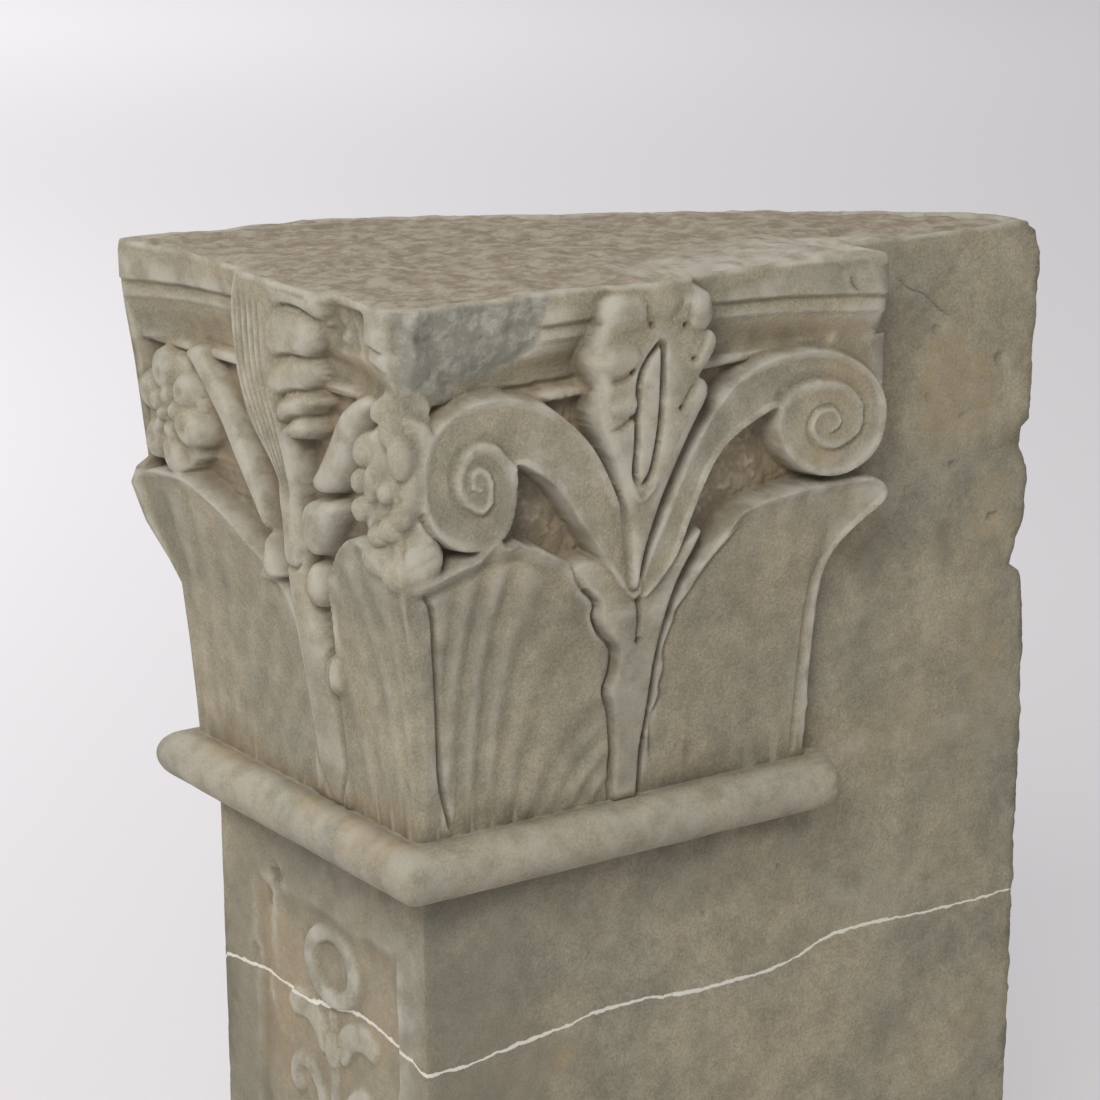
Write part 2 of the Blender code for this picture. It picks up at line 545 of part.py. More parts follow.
def build_stone():
    """Wraps a grid round the stone's rings, closes its ends and thins it to its triangles."""
    rows = close_top(stone_points())
    levels, columns, _ = rows.shape
    mesh = bpy.data.meshes.new("stone_column")
    work = bmesh.new()
    bmesh.ops.create_grid(work, x_segments=columns, y_segments=levels - 1, size=1.0)
    work.verts.ensure_lookup_table()
    order = sorted(work.verts, key=lambda vert: (round(vert.co.y, 6), round(vert.co.x, 6)))
    for place, vert in enumerate(order):
        level, column = divmod(place, columns + 1)
        vert.co = rows[level, column % columns]
    bmesh.ops.remove_doubles(work, verts=work.verts, dist=1e-6)
    open_edges = [edge for edge in work.edges if edge.is_boundary]
    bmesh.ops.holes_fill(work, edges=open_edges, sides=0)
    bmesh.ops.recalc_face_normals(work, faces=work.faces)
    bmesh.ops.triangulate(work, faces=work.faces)
    before = len(work.faces)
    work.to_mesh(mesh)
    work.free()
    stone = bpy.data.objects.new("stone_column", mesh)
    thin = stone.modifiers.new("thin", "DECIMATE")
    thin.ratio = TRIANGLES / before
    low = rows.reshape(-1, 3).min(axis=0)
    high = rows.reshape(-1, 3).max(axis=0)
    stone.location = (-0.5 * (low[0] + high[0]), -0.5 * (low[1] + high[1]), SHAFT_DROP)
    return stone


def sandstone():
    """Plain grey-beige sandstone."""
    material = bpy.data.materials.new("grey_beige_sandstone")
    material.use_nodes = True
    shader = material.node_tree.nodes["Principled BSDF"]
    shader.inputs["Base Color"].default_value = STONE_COLOUR
    shader.inputs["Roughness"].default_value = 0.85
    shader.inputs["Metallic"].default_value = 0.0
    return material


def main():
    """Clears the scene and builds the column."""
    for thing in list(bpy.data.objects):
        bpy.data.objects.remove(thing, do_unlink=True)
    parts = bpy.data.collections.new("stone_column_parts")
    bpy.context.scene.collection.children.link(parts)
    stone = build_stone()
    stone.data.materials.append(sandstone())
    parts.objects.link(stone)


main()
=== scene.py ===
"""Looks of the upper part of a carved sandstone pilaster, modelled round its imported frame.

The stone is drawn round its near corner, the arris, as the frame is. The front face looks along -X and
carries a sunk panel, the side face looks along -Y and carries the volutes, and heights are measured from
the middle of the neck roll. The carving is drawn on sheets in millimetres.
"""

import logging
import math
from dataclasses import dataclass, field
from typing import Callable, Sequence, Union

import bpy
import numpy as np
from mathutils import Matrix, Vector


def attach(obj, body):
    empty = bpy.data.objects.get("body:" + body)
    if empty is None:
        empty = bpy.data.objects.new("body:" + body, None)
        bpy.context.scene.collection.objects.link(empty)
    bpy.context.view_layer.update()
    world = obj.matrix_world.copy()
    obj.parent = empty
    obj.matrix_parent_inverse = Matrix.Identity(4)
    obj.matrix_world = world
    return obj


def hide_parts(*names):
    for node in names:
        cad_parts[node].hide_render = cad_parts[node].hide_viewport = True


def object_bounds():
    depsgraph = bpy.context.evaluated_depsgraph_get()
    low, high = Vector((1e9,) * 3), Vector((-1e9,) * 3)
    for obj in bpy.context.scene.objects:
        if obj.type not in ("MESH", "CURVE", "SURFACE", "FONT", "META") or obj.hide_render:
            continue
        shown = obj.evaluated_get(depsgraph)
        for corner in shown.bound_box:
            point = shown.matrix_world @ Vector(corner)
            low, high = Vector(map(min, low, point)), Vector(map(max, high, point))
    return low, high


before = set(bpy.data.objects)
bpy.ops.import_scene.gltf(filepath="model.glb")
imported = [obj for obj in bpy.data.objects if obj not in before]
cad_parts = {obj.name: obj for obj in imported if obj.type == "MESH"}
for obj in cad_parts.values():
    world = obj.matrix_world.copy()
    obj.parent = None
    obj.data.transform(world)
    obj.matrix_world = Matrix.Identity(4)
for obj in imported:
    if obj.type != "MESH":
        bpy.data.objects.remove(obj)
CAD_BOX = [[round(value, 6) for value in corner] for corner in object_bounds()]

Outline = Sequence[tuple[float, float]]
Level = Union[float, Callable[[np.ndarray, np.ndarray], np.ndarray]]
# What each point carries into the colour: the soot layer is mostly painted shade, darkening grooves, drill holes,
# moats, cracks and creases; the damp layer holds stains and also painted shade below the neck roll; the edge layer
# holds rubbed edges and a painted highlight on the roll's top; the hollow layer darkens hollows by their depth.
LAYERS = ("ground", "hollow", "edge", "fresh", "bed", "ochre", "soot_and_shade", "damp_and_shade")
MM = 0.001
log = logging.getLogger("stone_column")


def ramp(low: float, high: float, value: np.ndarray) -> np.ndarray:
    """Rises smoothly from 0 at low to 1 at high."""
    share = np.clip((value - low) / (high - low), 0.0, 1.0)
    return share * share * (3.0 - 2.0 * share)


def bump(middle: float, reach: float, value: np.ndarray) -> np.ndarray:
    """A soft hump, 1 at its middle and 0 beyond its reach."""
    return 1.0 - ramp(0.0, reach, np.abs(value - middle))


def keyed(keys: Outline, value: np.ndarray) -> np.ndarray:
    """Reads a profile given as (place, size) pairs."""
    places, sizes = zip(*keys)
    return np.interp(value, places, sizes)


def smooth_curve(points: Outline, closed: bool = False, steps: int = 5) -> np.ndarray:
    """A Catmull-Rom curve through the points of an outline or a line.

    Args:
        points: The points that the curve goes through.
        closed: Whether the curve comes back to its first point.
        steps: How many short lines each span is cut into.

    Returns:
        The curve's own points, one to a row.
    """
    knots = np.array(points, float)
    count = len(knots)
    found = []
    for span in range(count if closed else count - 1):
        places = [span + shift for shift in (-1, 0, 1, 2)]
        if closed:
            before, start, end, after = (knots[place % count] for place in places)
        else:
            before, start, end, after = (knots[min(max(place, 0), count - 1)] for place in places)
        for step in range(steps):
            t = step / steps
            found.append(0.5 * (2 * start + (end - before) * t
                                + (2 * before - 5 * start + 4 * end - after) * t ** 2
                                + (3 * start - before - 3 * end + after) * t ** 3))
    if not closed:
        found.append(knots[-1])
    return np.array(found)


def rough(scale: float, seed: int, *places: np.ndarray) -> np.ndarray:
    """Soft random waves between -1 and 1, about one to each scale of length."""
    table = np.random.default_rng(seed).uniform(-1.0, 1.0, 4096)
    cells = [np.floor(place / scale).astype(int) for place in places]
    shares = [ramp(0.0, 1.0, place / scale - cell) for place, cell in zip(places, cells)]
    total = 0.0
    for corner in range(2 ** len(places)):
        key = 0
        weight = 1.0
        for axis, (cell, share) in enumerate(zip(cells, shares)):
            step = (corner >> axis) & 1
            key = key + (cell + step) * (73, 179, 283)[axis]
            weight = weight * (share if step else 1.0 - share)
        total = total + weight * table[key % 4096]
    return total


def layered(scale: float, seed: int, octaves: int, *places: np.ndarray) -> np.ndarray:
    """Random waves with finer ones laid over them, each half as high and half as long."""
    total = 0.0
    for octave in range(octaves):
        total = total + rough(scale * 0.5 ** octave, seed + octave, *places) * 0.5 ** octave
    return total


def blurred(values: np.ndarray, reach: int) -> np.ndarray:
    """Averages a sheet over a square window, three times, keeping its edges."""
    width = 2 * reach + 1
    for _ in range(3):
        for axis in (0, 1):
            pads = [(0, 0), (0, 0)]
            pads[axis] = (reach + 1, reach)
            sums = np.cumsum(np.pad(values, pads, mode="edge"), axis=axis)
            high = np.take(sums, range(width, sums.shape[axis]), axis=axis)
            low = np.take(sums, range(0, sums.shape[axis] - width), axis=axis)
            values = (high - low) / width
    return values


def oval(across: float, up: float, long: float, high: float) -> Outline:
    """The outline of an oval lobe."""
    turns = [math.radians(angle) for angle in range(0, 360, 30)]
    return [(across + long * math.cos(turn), up + high * math.sin(turn)) for turn in turns]


class Sheet:
    """One face of the stone, unrolled: across, up, how far each point stands out, and what shows there."""

    def __init__(self, across: np.ndarray, up: np.ndarray, out: np.ndarray,
                 slant: tuple[float, float] = (0.0, 0.0), ground: Outline = ((0, 0), (1, 0))) -> None:
        """Takes the places of the points, the first surface, the view's slant and the ground's profile."""
        self.slant = np.array(slant)
        self.floor = ground
        self.across = across
        self.up = up
        self.out = np.array(out, float)
        self.layers = {name: np.zeros(across.shape) for name in LAYERS}

    def near(self, line: np.ndarray, reach: float) -> np.ndarray:
        """Marks the points in the box round a line."""
        low = line.min(axis=0) - reach
        high = line.max(axis=0) + reach
        return ((self.across > low[0]) & (self.across < high[0])
                & (self.up > low[1]) & (self.up < high[1]))

    def distance(self, line: np.ndarray, where: np.ndarray) -> tuple[np.ndarray, np.ndarray, np.ndarray]:
        """Measures the chosen points against a line.

        Args:
            line: The line's points.
            where: Marks the points to measure.

        Returns:
            How far each point lies from the line, on which side, and how far along it, 0 to 1.
        """
        across = self.across[where]
        up = self.up[where]
        best = np.full(across.shape, np.inf)
        side = np.zeros(across.shape)
        along = np.zeros(across.shape)
        lengths = np.hypot(*np.diff(line, axis=0).T)
        run = np.concatenate([[0.0], np.cumsum(lengths)])
        for index, (start, end) in enumerate(zip(line[:-1], line[1:])):
            step = end - start
            share = ((across - start[0]) * step[0] + (up - start[1]) * step[1]) / (step @ step)
            share = np.clip(share, 0.0, 1.0)
            gap_across = across - start[0] - share * step[0]
            gap_up = up - start[1] - share * step[1]
            gap = np.hypot(gap_across, gap_up)
            closer = gap < best
            best = np.where(closer, gap, best)
            side = np.where(closer, np.sign(step[0] * gap_up - step[1] * gap_across), side)
            along = np.where(closer, (run[index] + share * lengths[index]) / run[-1], along)
        return best, side, along

    def inside(self, outline: np.ndarray, where: np.ndarray) -> np.ndarray:
        """How far inside a closed outline the chosen points lie; negative outside."""
        closed = np.vstack([outline, outline[:1]])
        gap, _, _ = self.distance(closed, where)
        across = self.across[where]
        up = self.up[where]
        crossed = np.zeros(across.shape, bool)
        for start, end in zip(closed[:-1], closed[1:]):
            if start[1] == end[1]:
                continue
            between = (up > min(start[1], end[1])) & (up <= max(start[1], end[1]))
            reach = start[0] + (up - start[1]) * (end[0] - start[0]) / (end[1] - start[1])
            crossed ^= between & (across < reach)
        return np.where(crossed, gap, -gap)

    def settle(self, line: np.ndarray, level: Level, drawn: Union[float, Outline],
               solid: bool = True) -> np.ndarray:
        """Moves a line, drawn at one depth along the view, to the depth where it really lies.

        Args:
            line: The line's points.
            level: How far the stone stands out there, or a function that gives it.
            drawn: The depth that the line was drawn at, or a profile of it by height.
            solid: Whether the line bounds a raised form, whose walls towards the arris are seen down to the ground.

        Returns:
            The moved points.
        """
        across, up = line.T
        depth = level(across, up) if callable(level) else np.full(across.shape, float(level))
        if solid:
            step = np.roll(line, -1, axis=0) - np.roll(line, 1, axis=0)
            area = np.sum(across * np.roll(up, -1) - np.roll(across, -1) * up)
            outward = step[:, 1] * np.sign(area) / np.maximum(np.hypot(*step.T), 1e-6)
            facing = ramp(0.0, 0.9, -outward)
            depth = depth + (keyed(self.floor, up) + 3.0 - depth) * facing
        height = keyed(drawn, up) if isinstance(drawn, tuple) else drawn
        return line + (height - depth)[:, None] * self.slant

    def lay(self, points: Outline, level: Level, wall: float = 2.0, rim: Level = 0.0, rim_width: float = 6.0,
            roundness: float = 0.0, round_width: float = 8.0, moat: float = 0.0, moat_width: float = 4.0,
            drawn: Union[float, Outline, None] = None, walled: bool = True) -> None:
        """Raises the stone inside an outline to a level.

        Args:
            points: The outline, on the sheet.
            level: How far the raised stone stands out, or a function that gives it.
            wall: How wide the steep wall is.
            rim: How far the edge rises above the level.
            rim_width: How wide that rim is.
            roundness: How far the edge falls below the level.
            round_width: How wide that fall is.
            moat: How deep the ground is cut just outside; the cut is also darkened as painted shade.
            moat_width: How wide that cut is.
            drawn: The depth that the outline was drawn at.
            walled: Whether its walls towards the arris are in view.
        """
        outline = smooth_curve(points, closed=True)
        if drawn is not None:
            outline = self.settle(outline, level, drawn, walled)
        where = self.near(outline, max(wall, moat_width) + 1.0)
        deep = self.inside(outline, where)
        across = self.across[where]
        up = self.up[where]
        height = level(across, up) if callable(level) else level
        rise = rim(across, up) if callable(rim) else rim
        lip = 1.0 - ramp(0.0, rim_width, deep)
        height = height + rise * lip
        height = height - roundness * (1.0 - np.sqrt(1.0 - (1.0 - np.clip(deep / round_width, 0.0, 1.0)) ** 2))
        old = self.out[where] - moat * (1.0 - ramp(0.0, moat_width, -deep)) * (deep < 0.0)
        share = ramp(-wall, 0.0, deep)
        new = old + (height - old) * share
        self.out[where] = np.where(deep < -wall, old, np.maximum(old, new))
        self.layers["ground"][where] *= 1.0 - share
        pale = 0.25 * rise * lip * share
        self.layers["edge"][where] = np.maximum(self.layers["edge"][where] * (1.0 - share), np.clip(pale, 0.0, 0.8))
        # Painted shade: the ground in the moat just outside the raised form is darkened.
        if moat:
            cut = moat / 6.0 * (1.0 - ramp(0.0, moat_width, -deep)) * (deep < 0.0)
            self.layers["soot_and_shade"][where] = np.maximum(self.layers["soot_and_shade"][where] * (1.0 - share), cut)

    def groove(self, points: Outline, depth: float, width: float, fade: float = 0.12,
               soot_and_shade: float = 0.0, shift: tuple[float, float] = (0.0, 0.0)) -> None:
        """Cuts a round-bottomed line, which fades at its ends.

        Args:
            points: The line, on the sheet.
            depth: How deep it is cut.
            width: How far it reaches to each side.
            fade: The share of its length over which each end fades.
            soot_and_shade: How dark its bottom is painted, as painted shade in the groove.
            shift: How far the whole line moves.
        """
        line = smooth_curve(points) + np.array(shift)
        where = self.near(line, width)
        gap, _, along = self.distance(line, where)
        share = (1.0 - ramp(0.0, width, gap)) * ramp(0.0, fade, along) * ramp(0.0, fade, 1.0 - along)
        self.out[where] -= depth * share
        self.layers["soot_and_shade"][where] = np.maximum(self.layers["soot_and_shade"][where], soot_and_shade * share)

    def ridge(self, points: Outline, height: float, width: float, fade: float = 0.12, pale: float = 0.0) -> None:
        """Raises a rounded line, which fades at its ends and can be rubbed pale."""
        self.groove(points, -height, width, fade)
        line = smooth_curve(points)
        where = self.near(line, width)
        gap, _, along = self.distance(line, where)
        rubbed = pale * (1.0 - ramp(0.5 * width, width, gap)) * ramp(0.0, fade, along) * ramp(0.0, fade, 1.0 - along)
        self.layers["edge"][where] = np.maximum(self.layers["edge"][where], rubbed)

    def drill(self, across: float, up: float, radius: float, depth: float) -> None:
        """Drills a hole and darkens it with painted shade."""
        gap = np.hypot(self.across - across, self.up - up)
        share = 1.0 - ramp(0.6 * radius, 1.2 * radius, gap)
        self.out -= depth * share
        self.layers["soot_and_shade"] = np.maximum(self.layers["soot_and_shade"], share)

    def pit(self, across: float, up: float, width: float, height: float, depth: float, seed: int) -> None:
        """Knocks a ragged chip out of the surface."""
        gap = np.hypot((self.across - across) / width, (self.up - up) / height)
        gap = gap + 0.25 * rough(3.0, seed, self.across, self.up)
        self.out -= depth * (1.0 - ramp(0.45, 1.0, gap))

    def dome(self, across: float, up: float, size: tuple[float, float], tilt: float, base: float,
             top: float) -> None:
        """Raises a rounded oval lobe.

        Args:
            across: Where its middle lies.
            up: How high its middle lies.
            size: Its long and short radius.
            tilt: The turn of its long radius, in degrees.
            base: How far its foot stands out.
            top: How far its middle stands out.
        """
        cosine, sine = math.cos(math.radians(tilt)), math.sin(math.radians(tilt))
        along = (self.across - across) * cosine + (self.up - up) * sine
        beside = (self.up - up) * cosine - (self.across - across) * sine
        gap = np.hypot(along / size[0], beside / size[1])
        gap = gap + 0.06 * rough(9.0, int(up), self.across, self.up)
        height = base + (top - base) * np.sqrt(np.clip(1.0 - gap ** 2, 0.0, 1.0))
        raised = (gap < 1.0) & (height > self.out)
        self.out = np.where(raised, height, self.out)
        self.layers["ground"] = np.where(raised, 0.0, self.layers["ground"])

    def stain(self, layer: str, across: float, up: float, size: tuple[float, float], amount: float) -> None:
        """Spreads a ragged stain on one of the layers."""
        gap = np.hypot((self.across - across) / size[0], (self.up - up) / size[1])
        gap = gap + 0.35 * layered(0.5 * min(size), int(abs(across) + abs(up)), 4, self.across, self.up)
        self.layers[layer] = np.maximum(self.layers[layer], amount * (1.0 - ramp(0.55, 1.0, gap)))

    def soften(self) -> None:
        """Takes the saw teeth off steep walls."""
        for name, values in [("out", self.out)] + [(name, self.layers[name]) for name in LAYERS]:
            for axis in (0, 1):
                ahead = np.concatenate([np.take(values, range(1, values.shape[axis]), axis=axis),
                                        np.take(values, [-1], axis=axis)], axis=axis)
                behind = np.concatenate([np.take(values, [0], axis=axis),
                                         np.take(values, range(0, values.shape[axis] - 1), axis=axis)], axis=axis)
                values = 0.5 * values + 0.25 * (ahead + behind)
            if name == "out":
                self.out = values
            else:
                self.layers[name] = values

    def weather(self, reach: int) -> None:
        """Finds the hollows, which the finish darkens by their depth, and the edges that are rubbed pale."""
        wide = blurred(self.out, 3 * reach)
        fine = blurred(self.out, reach)
        self.layers["hollow"] = np.clip((wide - self.out) / 5.0, 0.0, 1.0)
        self.layers["edge"] = np.clip((self.out - fine) / 1.2, 0.0, 1.0)


@dataclass
class SideCarving:
    """The side face's capital: two volutes, a leaf between them, and water leaves below."""

    eye_right: tuple[float, float] = (326.0, 286.0)
    eye_left: tuple[float, float] = (20.0, 283.0)
    horn_end: float = 377.0
    volute_end: float = 386.0
    ground: Outline = ((21, 7), (90, 9), (160, 12), (240, 15), (320, 17), (350, 20), (410, 30))
    leaf_flare: Outline = ((21, 10.5), (46, 12), (94, 15), (140, 19), (165, 23), (190, 29), (215, 35), (238, 38))
    leaf_end: Outline = ((21, 334), (72, 337), (118, 339), (163, 343), (187, 352), (204, 370), (220, 394),
                         (238, 382), (244, 352))
    right_scroll: Outline = ((154, 185), (163, 212), (176, 237), (191, 266), (206, 292), (225, 316), (249, 334),
                             (280, 343), (322, 343), (356, 329), (376, 309), (382, 286), (375, 264), (358, 251),
                             (333, 246), (305, 254), (287, 270), (279, 290), (279, 304), (259, 298), (236, 286),
                             (219, 268), (202, 236), (188, 208), (164, 184))
    right_crease: Outline = ((279, 296), (284, 309), (298, 318), (322, 320), (345, 313), (359, 296), (355, 277),
                             (335, 268), (318, 272), (309, 285), (314, 296), (327, 299), (337, 293), (338, 284),
                             (329, 280))
    left_scroll: Outline = ((157, 186), (148, 226), (134, 264), (113, 301), (79, 331), (45, 342), (14, 341),
                            (-10, 330), (-22, 314), (-27, 292), (-23, 266), (-8, 246), (13, 237), (37, 240),
                            (49, 256), (53, 281), (53, 293), (74, 281), (91, 264), (104, 245), (117, 227),
                            (128, 210), (146, 186))
    left_crease: Outline = ((53, 281), (50, 293), (42, 303), (30, 312), (14, 311), (4, 300), (2, 283), (9, 270),
                            (21, 263), (31, 268), (33, 282), (28, 292), (20, 296), (13, 290), (15, 281),
                            (21, 279))
    centre_leaf: Outline = ((158, 186), (153, 210), (148, 240), (141, 268), (131, 292), (122, 312), (120, 326),
                            (122, 340), (116, 356), (120, 372), (126, 385), (134, 404), (157, 411), (177, 411),
                            (203, 404), (217, 390), (218, 377), (211, 366), (221, 361), (217, 347), (208, 336),
                            (214, 328), (210, 313), (201, 297), (190, 276), (176, 246), (164, 212))
    calyx: Outline = ((153, 12), (154, 45), (154, 64), (151, 89), (146, 108), (150, 122), (151, 139), (140, 153),
                      (132, 167), (131, 179), (117, 192), (106, 205), (110, 211), (124, 212), (134, 207), (141, 202),
                      (148, 195), (152, 190), (158, 184), (163, 176), (168, 182), (186, 198), (207, 214), (221, 220),
                      (210, 201), (199, 182), (191, 158), (185, 127), (182, 89), (178, 56), (176, 12))
    left_leaf: Outline = ((-70, 12), (-70, 214), (-31, 217), (-12, 221), (8, 227), (23, 231), (31, 237), (40, 240),
                          (48, 236), (57, 237), (66, 232), (74, 231), (82, 226), (90, 221), (98, 217), (104, 210),
                          (107, 202), (114, 192), (128, 179), (129, 167), (136, 153), (148, 139), (147, 122),
                          (143, 108), (149, 89), (152, 63), (151, 45), (151, 12))
    right_leaf: Outline = ((180, 12), (184, 65), (187, 88), (191, 126), (196, 149), (207, 177), (223, 197),
                           (237, 213), (256, 231), (305, 239), (352, 239), (380, 237), (391, 221), (368, 204),
                           (350, 187), (341, 163), (338, 118), (336, 72), (333, 12))
    fold: Outline = ((187, 40), (184, 62), (184, 80), (192, 96), (191, 104), (195, 116), (193, 130), (197, 142),
                     (201, 152), (202, 160), (211, 172), (222, 190), (236, 206), (256, 224))
    fan: Sequence[tuple[float, float, float]] = ((4.0, 6.0, 240.0), (20.0, 34.0, 240.0), (36.0, 58.0, 238.0),
                                                 (53.0, 90.0, 214.0), (70.0, 130.0, 172.0), (86.0, 152.0, 106.0),
                                                 (111.0, 152.0, 68.0), (135.0, 153.0, 42.0), (150.0, 155.0, 30.0))
    lobes: Sequence[tuple[float, float, float, float, float, float]] = (
        (174, 396, 18, 18, 0, 53), (204, 384, 17, 15, 90, 53), (208, 354, 18, 10, 50, 52),
        (202, 320, 18, 10, 50, 50))
    left_lobes: Sequence[tuple[float, float, float, float]] = ((144, 389, 21, 18), (137, 357, 21, 15),
                                                               (141, 324, 18, 11))
    break_edge: Outline = ((-60, 414), (-60, 356), (-27, 352), (-3, 345), (7, 338), (14, 347), (22, 350),
                           (44, 353), (62, 361), (78, 368), (80, 386), (75, 414))

    def mouldings(self, sheet: Sheet) -> None:
        """Lays the bell's lip and the abacus: a hollow, a fillet and a fascia, drooping towards the horns."""
        height = 337.0 + 0.05 * (sheet.across - 165.0)
        gap = np.abs(sheet.up - height)
        lip = 30.0 * np.sqrt(np.clip(1.0 - (gap / 6.0) ** 4, 0.0, 1.0))
        sheet.out = np.maximum(sheet.out, lip)
        abacus(sheet, 160.0, 215.0)
        sheet.lay(((-60, 317), (-60, 347), (-15, 347), (-14, 317)), 34.0)
        sheet.lay(((338, 290), (338, 350), (400, 350), (400, 290)), 35.0)

    def volutes(self, sheet: Sheet) -> None:
        """Lays both stems with their coils, and the stone between the near coil and the corner."""
        coil(sheet, self.right_scroll, self.right_crease, self.eye_right, -1)
        coil(sheet, self.left_scroll, self.left_crease, self.eye_left, 1)
        sheet.lay(((-70, 236), (-70, 330), (-16, 328), (-21, 306), (-24, 290), (-21, 262), (-12, 240)),
                  lambda a, z: 35.0 + 6.0 * ramp(-42.0, -14.0, a), wall=3.0)

    def middle_leaf(self, sheet: Sheet) -> None:
        """Lays the calyx and the lobed leaf between the stems, with its drilled grooves."""
        for moat in (8.0, 0.0):
            sheet.lay(self.centre_leaf, lambda a, z: 43.0 + 5.5 * ramp(200.0, 330.0, z), roundness=5.0,
                      round_width=10.0, moat=moat, moat_width=3.5)
            if moat:
                for across, up, long, short in self.left_lobes:
                    sheet.lay(oval(across, up, long, short), 52.5, wall=2.0, roundness=10.0, round_width=15.0,
                              moat=6.0, moat_width=3.0)
        for across, up, long, short, tilt, top in self.lobes:
            sheet.dome(across, up, (long, short), tilt, 44.0, top)
        # Painted shade: the drilled grooves and holes are darkened in their bottoms.
        for points in (((175, 368), (157, 347), (153, 324), (153, 295), (152, 274), (157, 262)),
                       ((175, 368), (175, 345), (173, 309), (169, 283), (165, 270), (157, 262))):
            sheet.groove(points, 10.0, 3.2, fade=0.08, soot_and_shade=0.9)
        sheet.ridge(((149, 270), (151, 260), (158, 253), (167, 260), (171, 270)), 2.0, 2.6, fade=0.25)
        for across, up in ((148, 347), (148, 314), (165, 378), (201, 350), (191, 316), (194, 375)):
            sheet.drill(across, up, 2.2, 6.0)
        for points in (((165, 378), (161, 386), (160, 396)), ((194, 375), (197, 388), (201, 400)),
                       ((201, 350), (207, 360), (214, 368)), ((191, 316), (197, 325), (203, 334)),
                       ((148, 347), (140, 342), (128, 341)), ((148, 314), (138, 308), (126, 306))):
            sheet.groove(points, 3.0, 2.4, fade=0.3, soot_and_shade=0.35)
        sheet.stain("edge", 198.0, 392.0, (7.0, 9.0), 1.0)

    def water_leaves(self, sheet: Sheet) -> None:
        """Lays the fluted leaf under the left volute and the smooth one under the right."""
        sheet.lay(self.left_leaf, lambda a, z: keyed(self.leaf_flare, z), rim=self.rolled, rim_width=7.0,
                  moat=6.0, moat_width=3.0)
        flutes(sheet, self.left_leaf, self.fan, 17.0, 3.0)
        sheet.ridge(((-31, 213), (-12, 217), (8, 223), (23, 227), (33, 234), (45, 232), (57, 234), (70, 228), (82, 222),
                     (92, 216), (101, 206)), 3.2, 5.5, fade=0.08, pale=1.0)
        # Painted shadow: a shallow groove under the rolled rim is darkened to shape the shadow below it.
        sheet.groove(((-31, 204), (-12, 208), (8, 214), (23, 217), (33, 224), (45, 222), (57, 224), (70, 218), (82, 212),
                      (92, 206)), 1.6, 4.0, fade=0.1, soot_and_shade=0.25)
        sheet.stain("damp_and_shade", 166.0, 90.0, (28.0, 110.0), 0.6)
        sheet.lay(self.right_leaf, lambda a, z: keyed(self.leaf_flare, z), rim=self.rolled, rim_width=6.0,
                  moat=6.0, moat_width=4.0)
        sheet.ridge(self.fold, 2.2, 3.2, fade=0.1)
        # Painted shade: the grooves beside the fold and along the leaf's free end are darkened.
        sheet.groove(self.fold, 2.4, 1.8, fade=0.1, soot_and_shade=0.5, shift=(4.0, 0.0))
        flutes(sheet, self.right_leaf, ((176.0, 176.0, 240.0), (340.0, 340.0, 240.0)), 27.0, 0.7)
        sheet.groove(tuple((a - 12.0, z) for z, a in self.leaf_end[:5]), 2.2, 2.0, fade=0.05, soot_and_shade=0.5)

    @staticmethod
    def rolled(across: np.ndarray, up: np.ndarray) -> np.ndarray:
        """The rolled rim of a water leaf, thicker along its top."""
        return 0.8 + 3.4 * ramp(170.0, 210.0, up)

    def middle_stalk(self, sheet: Sheet) -> None:
        """Lays the stalk between the water leaves, with its two calyx leaves."""
        sheet.lay(self.calyx, lambda a, z: 15.0 + 19.0 * ramp(21.0, 215.0, z), roundness=2.5, round_width=6.0)
        edge = tuple((a - 0.5, z) for a, z in self.calyx[:11])
        # Painted shade: the grooves along the calyx's edges, the slit and the drill hole are darkened.
        sheet.groove(edge, 6.0, 2.2, fade=0.02, soot_and_shade=0.9)
        sheet.groove(tuple((a + 2.0, z) for a, z in self.calyx[24:]), 8.0, 3.0, fade=0.02, soot_and_shade=1.0)
        sheet.groove(((163, 182), (165, 174), (167, 159), (166, 146)), 8.0, 2.0, soot_and_shade=0.9)
        sheet.drill(167.5, 144.5, 2.6, 6.0)

    def broken_corner(self, sheet: Sheet) -> None:
        """Breaks the abacus beside the near corner, down past the mouldings."""
        outline = smooth_curve(self.break_edge, closed=True)
        where = sheet.near(outline, 4.0)
        across, up = sheet.across[where], sheet.up[where]
        deep = sheet.inside(outline, where) + 1.6 * layered(7.0, 15, 3, across, up)
        facets = 7.0 * np.abs(rough(34.0, 5, across + 0.7 * up, up)) + 2.0 * np.abs(rough(13.0, 6, across, up))
        face = 21.0 + 0.20 * (up - 338.0) + facets + 0.7 * layered(6.0, 7, 3, across, up)
        face = face + 9.0 * (1.0 - ramp(-38.0, -8.0, across))
        hurt = ramp(0.0, 3.0, deep)
        sheet.out[where] -= np.maximum(sheet.out[where] - face, 0.0) * hurt
        sheet.layers["fresh"][where] = np.maximum(sheet.layers["fresh"][where], hurt)

